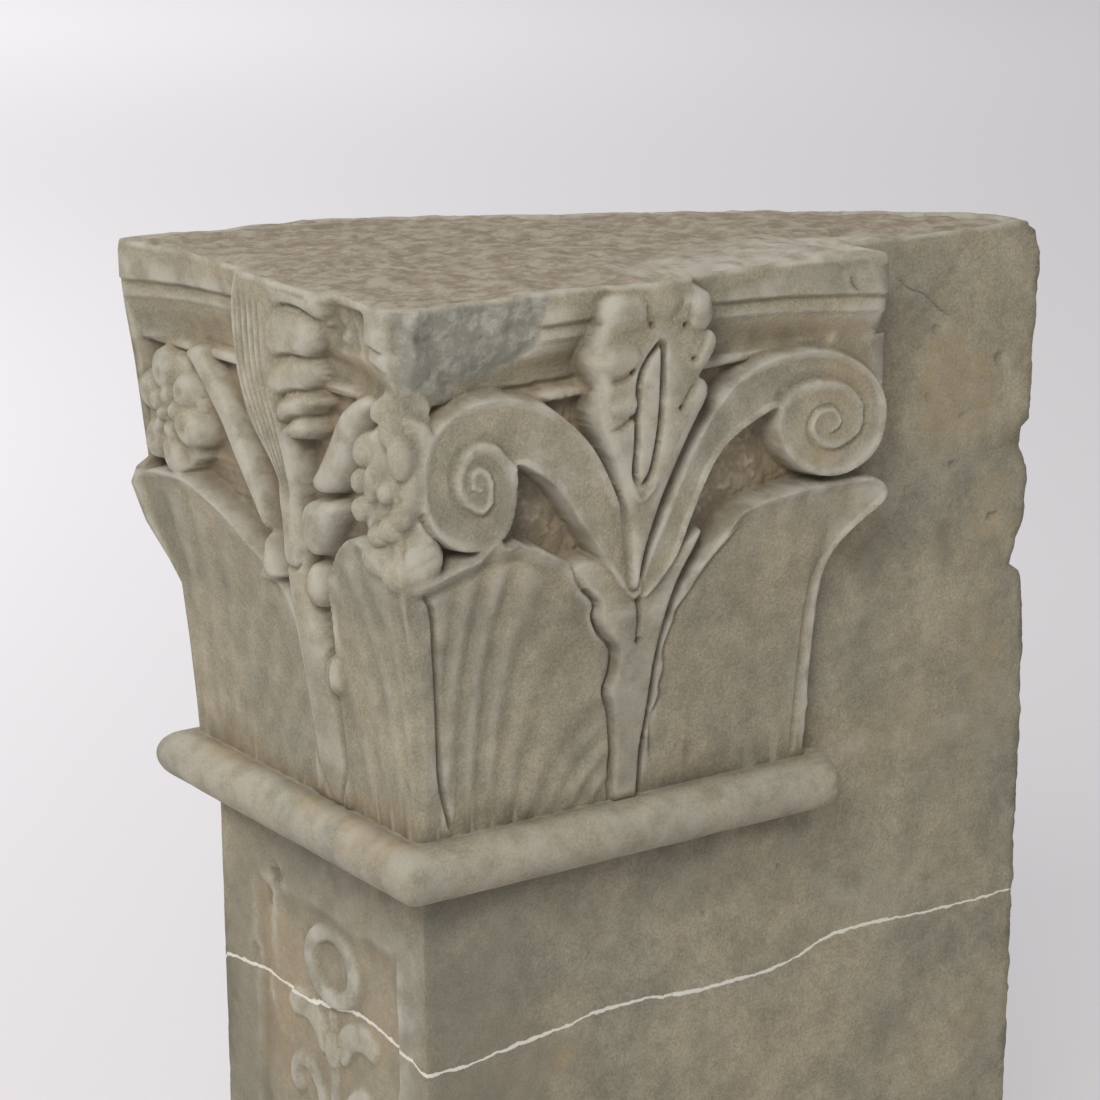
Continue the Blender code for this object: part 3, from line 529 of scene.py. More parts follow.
    def stains(self, sheet: Sheet) -> None:
        """Spreads the ochre and dark stains over the mouldings and the ground, with a faint painted shade on the ground
        under the right volute's stem and painted shade in a small crack near the horn.
        """
        sheet.stain("ochre", 108.0, 352.0, (60.0, 16.0), 0.55)
        sheet.stain("ochre", 300.0, 356.0, (85.0, 14.0), 0.45)
        sheet.stain("ochre", 345.0, 320.0, (26.0, 24.0), 0.5)
        sheet.stain("ochre", 98.0, 232.0, (14.0, 12.0), 0.9)
        sheet.stain("damp_and_shade", 326.0, 396.0, (15.0, 13.0), 1.0)
        sheet.stain("damp_and_shade", 60.0, 258.0, (26.0, 24.0), 0.8)
        sheet.stain("edge", 368.0, 396.0, (12.0, 18.0), 0.8)
        sheet.stain("edge", 360.0, 366.0, (18.0, 10.0), 0.5)
        sheet.stain("ochre", 300.0, 262.0, (40.0, 26.0), 0.6)
        # Painted shade: a faint darkening under the right volute's stem, and a darkened crack near the horn.
        sheet.stain("soot_and_shade", 258.0, 256.0, (22.0, 20.0), 0.1)
        sheet.groove(((344, 394), (346, 387), (352, 382)), 1.6, 1.2, soot_and_shade=0.8)

    def carve(self, across: np.ndarray, up: np.ndarray) -> Sheet:
        """Carves the whole face of the capital and returns it."""
        sheet = Sheet(across, up, keyed(self.ground, up), (0.685, -0.32), self.ground)
        sheet.out = np.where(across < 352.0, sheet.out, 0.0)
        sheet.layers["ground"] = (across < 340.0) * ramp(180.0, 190.0, up) * (1.0 - ramp(335.0, 345.0, up))
        self.mouldings(sheet)
        self.volutes(sheet)
        self.middle_leaf(sheet)
        self.water_leaves(sheet)
        self.middle_stalk(sheet)
        sheet.soften()
        # The corner rib's groove is darkened as painted shade.
        sheet.groove(((-18, 211), (-9, 195), (-3, 166), (1, 137), (4, 99), (7, 64), (17, 24)), 4.0, 2.9, soot_and_shade=0.8,
                     fade=0.04)
        self.broken_corner(sheet)
        self.stains(sheet)
        stipple = rough(4.0, 31, across, up) + 0.8 * rough(2.2, 32, across, up)
        sheet.out += 0.9 * stipple * sheet.layers["ground"]
        end = np.where(up > 346.0, self.horn_end, np.where(up > 240.0, self.volute_end, keyed(self.leaf_end, up)))
        past = ramp(0.0, 1.4, across - end)
        sheet.out *= 1.0 - past
        sheet.layers["ground"] *= 1.0 - past
        return sheet


@dataclass
class FrontCarving:
    """The front face's capital: a palmette between two stems with rosettes, and water leaves below."""

    far_rosette: tuple[float, float] = (290.0, 283.0)
    ground: Outline = ((21, 7), (90, 9), (160, 12), (240, 17), (320, 20), (350, 22), (410, 30))
    leaf_flare: Outline = ((21, 10.5), (46, 12), (94, 15), (140, 19), (165, 23), (190, 29), (215, 35), (238, 38))
    palmette: Outline = ((166, 414), (180, 385), (177, 347), (168, 310), (157, 288), (146, 272), (139, 252),
                         (134, 223), (131, 202), (111, 202), (110, 236), (106, 267), (102, 300), (114, 309),
                         (108, 339), (104, 369), (98, 398), (98, 414), (123, 420))
    far_stem: Outline = ((127, 190), (119, 214), (120, 236), (131, 262), (148, 283), (165, 301), (185, 318), (205, 331),
                         (232, 343), (256, 336), (243, 325), (222, 307), (202, 289), (187, 271), (171, 253),
                         (152, 232), (136, 206))
    near_stem: Outline = ((8, 342), (22, 338), (40, 326), (54, 306), (70, 284), (80, 272), (76, 264), (64, 264),
                          (47, 272), (34, 288), (21, 308), (13, 325), (0, 338))
    near_foot: Outline = ((89, 253), (97, 240), (95, 225), (84, 216), (76, 218), (65, 232), (54, 247), (50, 257),
                          (64, 258))
    far_leaf: Outline = ((370, 12), (370, 214), (356, 219), (334, 230), (288, 236), (257, 234), (206, 219),
                         (182, 204), (158, 190), (140, 168), (130, 140), (127, 95), (124, 51), (124, 12))
    near_leaf: Outline = ((-70, 12), (-70, 214), (-31, 224), (0, 237), (22, 241), (41, 231), (61, 208),
                          (74, 190), (82, 160), (84, 113), (80, 56), (78, 12))
    lobes: Sequence[tuple[float, Outline]] = (
        (49.0, ((124, 414), (84, 414), (50, 410), (46, 400), (60, 388), (96, 386), (122, 392))),
        (49.5, ((124, 382), (98, 393), (68, 392), (58, 382), (66, 366), (86, 355), (112, 352), (126, 361))),
        (48.5, ((125, 342), (112, 353), (86, 359), (68, 354), (70, 342), (87, 331), (107, 325), (125, 328))),
        (47.0, ((117, 320), (98, 331), (76, 334), (68, 328), (78, 320), (94, 312), (114, 307))),
        (46.0, ((112, 303), (98, 312), (82, 315), (77, 307), (88, 299), (108, 297))))
    near_fan: Sequence[tuple[float, float, float]] = ((-60.0, -60.0, 240.0), (-16.0, -16.0, 240.0),
                                                      (-6.0, 20.0, 240.0), (20.0, 62.0, 215.0),
                                                      (45.0, 84.0, 140.0), (68.0, 86.0, 70.0), (84.0, 88.0, 40.0))
    far_fan: Sequence[tuple[float, float, float]] = ((96.0, 98.0, 40.0), (150.0, 100.0, 95.0), (190.0, 110.0, 150.0),
                                                     (230.0, 170.0, 215.0), (270.0, 250.0, 235.0),
                                                     (310.0, 330.0, 240.0), (360.0, 420.0, 240.0))
    stalk: Outline = ((127, 12), (126, 100), (127, 150), (129, 190), (132, 225), (110, 225), (105, 200),
                      (94, 150), (84, 100), (78, 12))

    def mouldings(self, sheet: Sheet) -> None:
        """Lays the bell's lip and the abacus."""
        height = 337.0 - 0.02 * (sheet.across - 145.0)
        gap = np.abs(sheet.up - height)
        sheet.out = np.maximum(sheet.out, 30.0 * np.sqrt(np.clip(1.0 - (gap / 6.0) ** 4, 0.0, 1.0)))
        abacus(sheet, 145.0, 200.0)

    def stems(self, sheet: Sheet) -> None:
        """Lays both stems and the far rosette; the near stem is broken across."""
        sheet.lay(((-80, 246), (-80, 318), (2, 318), (2, 246)), 38.0, wall=4.0)
        sheet.lay(((-80, 316), (-80, 347), (-12, 347), (-16, 316)), 34.0, wall=4.0)
        sheet.lay(self.far_stem, 37.0, roundness=4.0, moat=4.0, drawn=44.0)
        for points in (self.near_stem, self.near_foot):
            sheet.lay(points, 41.0, wall=2.5, roundness=8.0, round_width=12.0, moat=5.0, moat_width=3.0)
        rosette(sheet, self.far_rosette, 50.0, 6, 46.0)

    def palmette_leaf(self, sheet: Sheet) -> None:
        """Lays the stalk and the palmette with fine flutes on one side and lobes on the other."""
        sheet.lay(self.stalk, lambda a, z: 13.0 + 21.0 * ramp(21.0, 215.0, z), roundness=6.0, moat=3.0)
        sheet.dome(92.0, 190.0, (17.0, 11.0), 90.0, 24.0, 35.0)
        sheet.dome(84.0, 124.0, (17.0, 9.0), 90.0, 16.0, 26.0)
        for moat in (5.0, 0.0):
            sheet.lay(self.palmette, lambda a, z: 35.0 + 12.0 * ramp(230.0, 340.0, z), roundness=8.0,
                      round_width=12.0, moat=moat)
            for level, points in self.lobes if moat else ():
                sheet.lay(points, level, wall=2.5, roundness=9.0, round_width=12.0, moat=7.0, moat_width=3.0)
        # The feather grooves are darkened as painted shade.
        for shift in (2.0, 10.0, 18.0, 26.0, 34.0, 42.0):
            sheet.groove(((130 - 0.3 * shift, 240), (154 - 0.8 * shift, 290), (176 - shift, 345), (180 - shift, 398)),
                         4.0, 3.2, fade=0.15, soot_and_shade=0.45)

    def water_leaves(self, sheet: Sheet) -> None:
        """Lays the two fluted leaves beside the stalk."""
        sheet.lay(self.far_leaf, lambda a, z: keyed(self.leaf_flare, z), rim=SideCarving.rolled, moat=4.0)
        flutes(sheet, self.far_leaf, self.far_fan, 23.0, 2.2)
        sheet.lay(self.near_leaf, lambda a, z: keyed(self.leaf_flare, z), rim=SideCarving.rolled, moat=4.0)
        flutes(sheet, self.near_leaf, self.near_fan, 19.0, 2.2)
        sheet.groove(((-12, 200), (-10, 120), (-10, 60), (-14, 22)), 1.2, 3.0)

    def chips(self, sheet: Sheet) -> None:
        """Knocks pieces off the abacus beside the near corner."""
        chipped = 31.0 + 3.0 * layered(14.0, 6, 3, sheet.across, sheet.up)
        hurt = ramp(-5.0, 12.0, sheet.across) * (1.0 - ramp(44.0, 56.0, sheet.across))
        hurt = hurt * ramp(362.0, 374.0, sheet.up) * (1.0 - ramp(398.0, 404.0, sheet.up))
        sheet.out -= np.maximum(sheet.out - chipped, 0.0) * hurt

    def carve(self, across: np.ndarray, up: np.ndarray) -> Sheet:
        """Carves the whole face of the capital and returns it."""
        sheet = Sheet(across, up, keyed(self.ground, up), (1.46, -0.467), self.ground)
        sheet.layers["ground"] = ramp(180.0, 190.0, up) * (1.0 - ramp(335.0, 345.0, up))
        self.mouldings(sheet)
        self.stems(sheet)
        self.palmette_leaf(sheet)
        self.water_leaves(sheet)
        sheet.soften()
        self.chips(sheet)
        sheet.stain("ochre", 30.0, 358.0, (40.0, 16.0), 0.8)
        sheet.stain("ochre", 230.0, 352.0, (60.0, 14.0), 0.4)
        for across, length, height in ((60.0, 60.0, 16.0), (200.0, 40.0, 13.0), (120.0, 50.0, 8.0)):
            sheet.stain("ochre", across, 22.0, (length, height), 0.9)
        stipple = rough(4.0, 41, across, up) + 0.8 * rough(2.2, 42, across, up)
        sheet.out += 0.9 * stipple * sheet.layers["ground"]
        return sheet


@dataclass
class ShaftPanel:
    """The front face's sunk panel with a ring, a hook and a candelabrum of leaves."""

    sink: float = 4.0
    right: float = 40.0
    left: float = 50.0
    top: float = 78.0
    run: float = 300.0
    middle: float = 137.0
    first: float = -160.0
    pitch: float = 96.0
    blade: Outline = ((4, -30), (10, -12), (26, 0), (50, 4), (66, -8), (58, -20), (44, -18), (30, -22), (16, -38))
    curl: Outline = ((10, -88), (18, -64), (40, -48), (62, -56), (66, -74), (54, -84), (46, -74), (54, -66),
                     (44, -60), (28, -70), (22, -88))

    def carve(self, across: np.ndarray, up: np.ndarray) -> Sheet:
        """Carves the panel and returns the whole front face of the shaft."""
        sheet = Sheet(across, up, np.full(across.shape, -self.sink))
        sheet.layers["ground"][:] = 1.0
        ring = np.hypot((across - 135.0) / 40.0, (up + 122.0) / 33.0)
        sheet.out = np.maximum(sheet.out, -self.sink + 4.6 * (1.0 - ramp(0.16, 0.24, np.abs(ring - 0.80))))
        tiers = int((self.first - 40.0 - up.min()) // self.pitch) + 1
        for tier in range(tiers):
            foot = self.first - self.pitch * tier
            for mirror in (-1.0, 1.0):
                sheet.lay([(self.middle + mirror * a, foot + z) for a, z in self.blade], -0.6, roundness=1.5,
                          round_width=5.0)
                sheet.lay([(self.middle + mirror * a, foot + z) for a, z in self.curl], -1.0, roundness=1.5,
                          round_width=4.0)
            knop = np.hypot((across - self.middle) / 13.0, (up - foot + 30.0) / 17.0)
            sheet.out = np.maximum(sheet.out, -self.sink * ramp(0.75, 1.0, knop))
            stem = np.abs(across - self.middle) < 6.0
            sheet.out = np.where(stem & (up < foot), np.maximum(sheet.out, -1.5), sheet.out)
        worn = 3.0 * layered(30.0, 53, 3, across, up)
        inside = (ramp(self.right, self.right + 4.0, across + worn)
                  * ramp(self.left, self.left + 9.0, self.run - across + worn)
                  * ramp(self.top, self.top + 16.0, -up + worn))
        sheet.layers["ground"] *= 0.55 * inside * ramp(0.6 * self.sink, 0.9 * self.sink, -sheet.out)
        sheet.out += 0.8 * rough(3.5, 51, across, up) * sheet.layers["ground"]
        sheet.out *= inside
        sheet.out -= 0.7 * np.clip(layered(22.0, 55, 4, across, up) - 0.1, 0.0, 1.0) * ramp(150.0, 230.0, across)
        for spot, rise, width, tall, depth in ((214, -72, 12, 9, 3.0), (250, -150, 8, 14, 2.0), (232, -96, 5, 12, 2.5)):
            sheet.pit(spot, rise, width, tall, depth, spot)
        # Of these, the dark mark in the pit at (216, -74) and the broad darkening just below the neck roll at (150,
        # -60) are painted shade.
        for layer, spot, rise, size, amount in (("soot_and_shade", 298, -190, (14, 60), 0.6), ("soot_and_shade", 216, -74, (9, 12), 0.7),
                                                ("damp_and_shade", 150, -60, (160, 50), 0.6), ("damp_and_shade", 275, -250, (60, 260), 0.7),
                                                ("damp_and_shade", 20, -200, (22, 180), 0.85), ("ochre", 225, -160, (40, 80), 0.45),
                                                ("edge", 226, -110, (6, 40), 0.7), ("edge", 232, -172, (7, 14), 0.8)):
            sheet.stain(layer, spot, rise, size, amount)
        return sheet


def abacus(sheet: Sheet, middle: float, half_run: float) -> None:
    """Fascia, fillet and hollow, which droop and step out towards the horns."""
    share = np.clip(np.abs(sheet.across - middle) / half_run, 0.0, 1.0)
    horn = ramp(0.55, 1.0, share)
    fascia_foot = 386.0 - 8.0 * share ** 2
    fillet_foot = 375.0 - 10.0 * share ** 2
    hollow_foot = 345.0 - 14.0 * share ** 2
    hollow = 23.0 + 12.0 * horn + 9.0 * ramp(hollow_foot, fillet_foot, sheet.up) ** 2
    fillet = 34.0 + 13.0 * horn
    fascia = 38.0 + 12.0 * horn
    profile = np.where(sheet.up > hollow_foot, hollow, 0.0)
    profile = profile + (fillet - profile) * ramp(fillet_foot - 1.5, fillet_foot, sheet.up)
    profile = profile + (fascia - profile) * ramp(fascia_foot - 1.5, fascia_foot, sheet.up)
    profile = profile - 2.5 * bump(0.0, 2.4, sheet.up - fascia_foot + 1.5) * (sheet.up > fillet_foot)
    nicks = np.clip(layered(13.0, 151, 3, sheet.across, sheet.up) - 0.25, 0.0, 1.0) * ramp(399.0, 409.0, sheet.up)
    profile = profile - 5.0 * nicks
    sheet.layers["ground"] *= 1.0 - (sheet.out < profile)
    sheet.out = np.maximum(sheet.out, profile)
    sheet.layers["edge"] = np.maximum(sheet.layers["edge"], 0.8 * ramp(402.0, 409.0, sheet.up))


def coil(sheet: Sheet, outline: Outline, crease: Outline, eye: tuple[float, float], turn: int) -> None:
    """A stem that runs up and coils into a volute, each turn standing above the one outside it.

    Args:
        sheet: The face that carries it.
        outline: The stem's and the volute's outer edge.
        crease: The line that parts the turns, from the outside to the eye.
        eye: The volute's middle.
        turn: -1 where the crease runs clockwise, else 1.
    """
    def level(across: np.ndarray, up: np.ndarray) -> np.ndarray:
        centre = np.hypot(across - eye[0], up - eye[1])
        return 33.0 + 6.0 * ramp(175.0, 260.0, up) + 3.5 * (1.0 - ramp(0.0, 45.0, centre))

    sheet.lay(outline, level, rim=2.6, rim_width=7.0, roundness=1.2, round_width=1.5, moat=4.0, moat_width=4.0,
              drawn=46.0, walled=False)
    line = sheet.settle(smooth_curve(crease, steps=8), level, 46.0, solid=False)
    where = sheet.near(line, 16.0)
    gap, side, along = sheet.distance(line, where)
    reach = 2.5 + 9.5 * (1.0 - along)
    fall = np.clip(1.0 - gap / reach, 0.0, 1.0)
    inner = side * turn > 0
    lift = 3.4 * fall
    sink = 3.0 * fall + 1.0 * np.exp(-(gap / 1.1) ** 2)
    grow = ramp(0.0, 0.08, along)
    bounds = sheet.settle(smooth_curve(outline, closed=True), level, 46.0, solid=False)
    held = sheet.inside(bounds, where) > 0
    sheet.out[where] += np.where(held, np.where(inner, lift, -sink) * grow, 0.0)


def flutes(sheet: Sheet, points: Outline, fan: Sequence[tuple[float, float, float]], pitch: float,
           depth: float) -> None:
    """Flutes that fan out over a water leaf like a palm, from its base to its free edges.

    Args:
        sheet: The face that carries the leaf.
        points: The leaf's outline.
        fan: Some of the ribs: where each stands at the base, where it ends and how high.
        pitch: How wide one flute is at the base.
        depth: How deep they are.
    """
    outline = smooth_curve(points, closed=True)
    where = sheet.near(outline, 0.0)
    deep = sheet.inside(outline, where)
    roots, ends, heights = np.array(fan).T
    spread = np.linspace(roots[0], roots[-1], 80)
    end = np.interp(spread, roots, ends)
    top = np.interp(spread, roots, heights)
    foot = np.zeros(sheet.across.shape)
    for row, height in enumerate(sheet.up[:, 0]):
        rib = spread + (end - spread) * (max(height, 0.0) / top) ** 2.6
        foot[row] = np.interp(sheet.across[row], np.maximum.accumulate(rib), spread)
    wave = np.sqrt(np.sin(math.pi * (foot[where] - roots[0]) / pitch) ** 2 + 0.04) - 0.8
    wave = wave * ramp(0.0, 3.0, foot[where] - roots[0])
    fade = ramp(0.0, 5.0, deep) * (0.7 + 0.5 * ramp(60.0, 220.0, sheet.up[where]))
    sheet.out[where] += np.where(deep > 0, depth * wave * fade, 0.0)


def rosette(sheet: Sheet, centre: tuple[float, float], radius: float, petals: int, level: float) -> None:
    """A worn flower with two rings of cupped petals round a small knob."""
    sheet.dome(*centre, (0.92 * radius, 0.92 * radius), 0.0, level - 16.0, level - 8.0)
    draw = np.random.default_rng(17)
    for count, reach, long, short, top in ((petals, 0.62, 0.40, 0.30, level), (petals - 1, 0.27, 0.22, 0.18, level + 1.5)):
        for petal in range(count):
            angle = 2.0 * math.pi * (petal + 0.3 + 0.12 * draw.uniform(-1.0, 1.0)) / count
            across = centre[0] + reach * radius * math.cos(angle)
            up = centre[1] + reach * radius * math.sin(angle)
            size = (long * radius * draw.uniform(0.85, 1.1), short * radius * draw.uniform(0.9, 1.15))
            height = top - draw.uniform(0.0, 3.0)
            sheet.dome(across, up, size, math.degrees(angle), level - 14.0, height)
            cup = np.hypot((sheet.across - across) / size[1], (sheet.up - up) / size[1])
            sheet.out -= 3.0 * (1.0 - ramp(0.0, 0.7, cup)) * (count == petals)
    sheet.dome(*centre, (0.11 * radius, 0.11 * radius), 0.0, level - 6.0, level + 3.0)


@dataclass
class CarvedStone:
    """The whole stone, one block: capital, neck roll, shaft, plain slab and the rough cut behind."""

    name: str = "pilaster_stone"
    arris: tuple[float, float] = (-0.26322, -0.14613)
    shaft_face: float = 0.300
    side_run: float = 0.390
    slab_run: float = 0.567
    slab_end_thickness: float = 0.068
    capital_rise: float = 0.410
    shaft_drop: float = 0.590
    back_return: float = 0.112
    cut_clearance: float = 0.047
    roll_radius: float = 0.021
    roll_centre: float = 0.0152
    roll_past_leaf: float = 0.018
    roll_back_stop: float = 0.012
    grain: float = 0.00125
    triangles: int = 192000
    near_corner: Outline = ((21, 10.5), (46, 11.6), (94, 14.4), (140, 17.8), (158, 22), (186, 29), (200, 33),
                            (216, 36), (232, 37), (318, 37), (345, 35), (360, 33), (372, 32), (395, 32), (410, 34))
    back_corner: Outline = ((21, 10.5), (46, 11.6), (94, 14.4), (140, 17.8), (158, 24), (189, 37), (219, 44.5),
                            (232, 41), (240, 34), (318, 40), (356, 44), (375, 45.5), (410, 46.5))
    slab_ragged: Outline = ((-590, -6), (-318, -5), (-203, -2), (-108, -2), (-14, 0), (71, 0), (110, -2), (129, -7),
                            (136, -17), (142, -16), (169, -3), (199, -1), (214, -3), (232, -12), (245, -9), (251, 0),
                            (274, 2), (306, 2), (326, 3), (357, 4), (383, 6), (400, 1), (410, -17))
    slab_pits: Sequence[tuple[float, float, float, float, float]] = (
        (533, 303, 5, 7, 2.6), (468, 333, 6, 5, 2.0), (462, 281, 5, 5, 1.8), (487, 225, 6, 4, 2.0),
        (531, 177, 9, 4, 2.4), (497, 262, 5, 3, 1.5), (250, -92, 3, 2, 1.5), (322, -70, 3, 3, 1.6),
        (205, -106, 5, 4, 1.2), (222, -152, 4, 3, 1.2), (440, -280, 3, 3, 1.4), (447, 300, 4, 6, 1.2))
    # Of these, the broad darkenings at (40, -150) and (230, -70), on the shaft near the arris and just below the neck
    # roll, are painted shade.
    slab_stains: Sequence[tuple[str, float, float, float, float, float]] = (
        ("damp_and_shade", 479, 166, 13, 30, 0.9), ("damp_and_shade", 407, 157, 22, 19, 0.9), ("damp_and_shade", 449, 138, 6, 5, 0.9),
        ("damp_and_shade", 403, 113, 6, 8, 0.8), ("damp_and_shade", 450, 65, 8, 8, 0.9), ("ochre", 490, 285, 46, 58, 0.55),
        ("ochre", 525, 60, 26, 70, 0.35), ("ochre", 530, 190, 24, 60, 0.45), ("damp_and_shade", 500, -174, 6, 15, 0.9),
        ("ochre", 528, -248, 20, 14, 0.6), ("ochre", 120, -175, 20, 12, 0.5), ("damp_and_shade", 40, -150, 90, 170, 0.85),
        ("damp_and_shade", 230, -70, 190, 30, 0.4), ("edge", 400, -120, 60, 30, 0.2), ("ochre", 425, 20, 60, 40, 0.25))
    lumps: Sequence[tuple[float, float, float, float, float, float]] = (
        (-19, -30, 233, 18, 14, 20), (-33, -10, 232, 13, 23, 13), (-30, -28, 226, 16, 14, 14),
        (-27, -12, 291, 14, 30, 38), (-38, -17, 337, 8, 10, 9), (-38, -28, 325, 9, 10, 12), (-37, -38, 309, 9, 10, 16),
        (-46, -13, 287, 5, 6, 14), (-40, 4, 307, 8, 8, 12), (-41, 8, 285, 7, 7, 9), (-40, 8, 265, 8, 8, 9),
        (-42, -26, 283, 6, 7, 8), (-40, -14, 251, 8, 10, 8), (-39, -27, 258, 8, 10, 9), (-37, -38, 268, 8, 9, 9))
    pale_lumps: int = 3
    # Of these, the dark bands at the height 19 along the crease where the neck roll meets the leaves, and the dark mark
    # at (300, -14) under the roll, are painted shade.
    front_stains: Sequence[tuple[str, float, float, tuple[float, float], float]] = (
        ("ochre", 30.0, 20.0, (60.0, 14.0), 1.0), ("ochre", 110.0, 22.0, (60.0, 13.0), 0.9),
        ("ochre", 250.0, 24.0, (50.0, 16.0), 0.9), ("soot_and_shade", 20.0, 19.0, (50.0, 6.0), 0.6),
        ("soot_and_shade", 100.0, 19.0, (40.0, 5.0), 0.4), ("edge", 240.0, -12.0, (10.0, 9.0), 1.0),
        ("soot_and_shade", 300.0, -14.0, (16.0, 10.0), 0.7), ("edge", 290.0, 8.0, (30.0, 16.0), 0.7))
    parts: dict = field(default_factory=dict)

    def rows(self) -> None:
        """Sets the heights of all rings, finer where the stone is carved."""
        shaft = np.linspace(-self.shaft_drop, -self.roll_radius - 0.002, 300)
        foot = self.near_corner[0][1] * MM
        start = -math.acos(-self.roll_centre / self.roll_radius)
        stop = math.acos((foot - self.roll_centre) / self.roll_radius)
        turns = np.linspace(start, stop, 30)
        round_up = self.roll_radius * np.sin(turns)
        bell = np.arange(self.roll_radius + 0.0008, self.capital_rise - 0.005, self.grain)
        self.plain = np.concatenate([shaft, np.linspace(round_up[0], round_up[-1], len(turns)), bell])
        self.roll_out = np.concatenate([0.0 * shaft, self.roll_centre + self.roll_radius * np.cos(turns), 0.0 * bell])
        self.roll_up = np.concatenate([shaft, round_up, bell])
        self.shaft = slice(0, len(shaft))
        self.roll = slice(len(shaft), len(shaft) + len(turns))
        self.bell = slice(len(shaft) + len(turns), len(self.plain))
        up = self.plain / MM
        self.near = np.where(self.roll_out > 0, self.roll_out, keyed(self.near_corner, up) * MM)
        self.far = np.where(self.roll_out > 0, self.roll_out, keyed(self.back_corner, up) * MM)
        self.near[self.shaft] = 0.0
        self.far[self.shaft] = 0.0
        wear = 0.0012 * rough(0.034, 71, self.plain) + 0.0003 * rough(0.012, 72, self.plain)
        self.near[self.bell] += wear[self.bell]

    def slab_end(self, height: np.ndarray) -> np.ndarray:
        """The ragged end of the slab, from the arris, at each height."""
        ragged = keyed(self.slab_ragged, height / MM) * MM
        return self.slab_run + ragged + 0.0012 * layered(0.012, 3, 3, height)

    @staticmethod
    def stretch(place: np.ndarray, corner: np.ndarray, reach: float) -> np.ndarray:
        """How far a column moves out past a corner that stands out; it fades within reach of the corner."""
        return corner * np.clip(1.0 - place / reach, 0.0, 1.0) ** 2

    def side(self) -> tuple[np.ndarray, dict[str, np.ndarray]]:
        """Points and layers of the side face, from the slab's end to the arris."""
        margin = self.side_run + 0.008
        columns = np.concatenate([np.linspace(self.slab_run, margin, 64)[:-1],
                                  np.linspace(margin, 0.0, int(margin / self.grain))])
        height = self.plain[:, None]
        last = self.slab_end(height)
        past = (columns - self.side_run) / (self.slab_run - self.side_run)
        x = columns - self.stretch(columns, self.near[:, None], 0.12)
        x = np.where(past > 0.0, self.side_run + past * (last - self.side_run), x)
        up = np.broadcast_to(height / MM, x.shape)
        slab = 0.8 * layered(60.0, 81, 3, x / MM, up) + 0.22 * layered(8.0, 85, 3, x / MM, up)
        sheet = Sheet(x / MM, up, np.minimum(slab - 0.5, 0.0))
        for across, rise, width, tall, depth in self.slab_pits:
            sheet.pit(across, rise, width, tall, depth, int(across))
        sheet.groove(((425, 380), (440, 368), (455, 362), (470, 350), (485, 340)), 1.4, 1.1, soot_and_shade=0.8)
        for layer, across, rise, width, tall, amount in self.slab_stains:
            sheet.stain(layer, across, rise, (width, tall), amount)
        carved = SideCarving().carve(x[self.bell] / MM, up[self.bell])
        sheet.out[self.bell] = np.where(carved.out > 0.5, carved.out, sheet.out[self.bell])
        for name in LAYERS:
            shown = np.where(carved.out > 0.5, carved.layers[name], sheet.layers[name][self.bell])
            sheet.layers[name][self.bell] = shown
        bulge = self.near[:, None] / MM
        corner = ramp(0.0, 6.0, x / MM + bulge)
        sheet.out[self.bell] = (bulge + (sheet.out - bulge) * corner)[self.bell]
        roll_end = 0.334 + self.roll_past_leaf
        on_roll = (self.roll_out > 0)[:, None] * (1.0 - ramp(roll_end - 0.001, roll_end + 0.001, x))
        wobble = 0.35 * layered(25.0, 91, 3, x / MM, up)
        sheet.out += (self.roll_out[:, None] / MM + wobble) * on_roll
        z = height + (self.roll_up[:, None] - height) * on_roll
        self.weather_face(sheet)
        return np.stack([x, -sheet.out * MM, z], axis=2), sheet.layers

    def weather_face(self, sheet: Sheet) -> None:
        """Finds hollows and edges, paints the neck roll's upper half paler as a painted highlight, and keeps the
        painted layers where they are stronger.
        """
        rubbed = sheet.layers["edge"]
        sheet.weather(3)
        # Painted highlight: the roll is paler towards its top, where the light falls on it.
        lit = ramp(-4.0, 14.0, sheet.up[self.roll]) * (0.6 + 0.4 * layered(26.0, 161, 3, sheet.across[self.roll], sheet.up[self.roll]))
        sheet.layers["edge"][self.roll] = 0.3 * sheet.layers["edge"][self.roll] + 0.45 * np.clip(lit, 0.0, 1.0)
        sheet.layers["edge"] *= 1.0 - 0.9 * sheet.layers["damp_and_shade"]
        sheet.layers["edge"] = np.maximum(sheet.layers["edge"], rubbed)

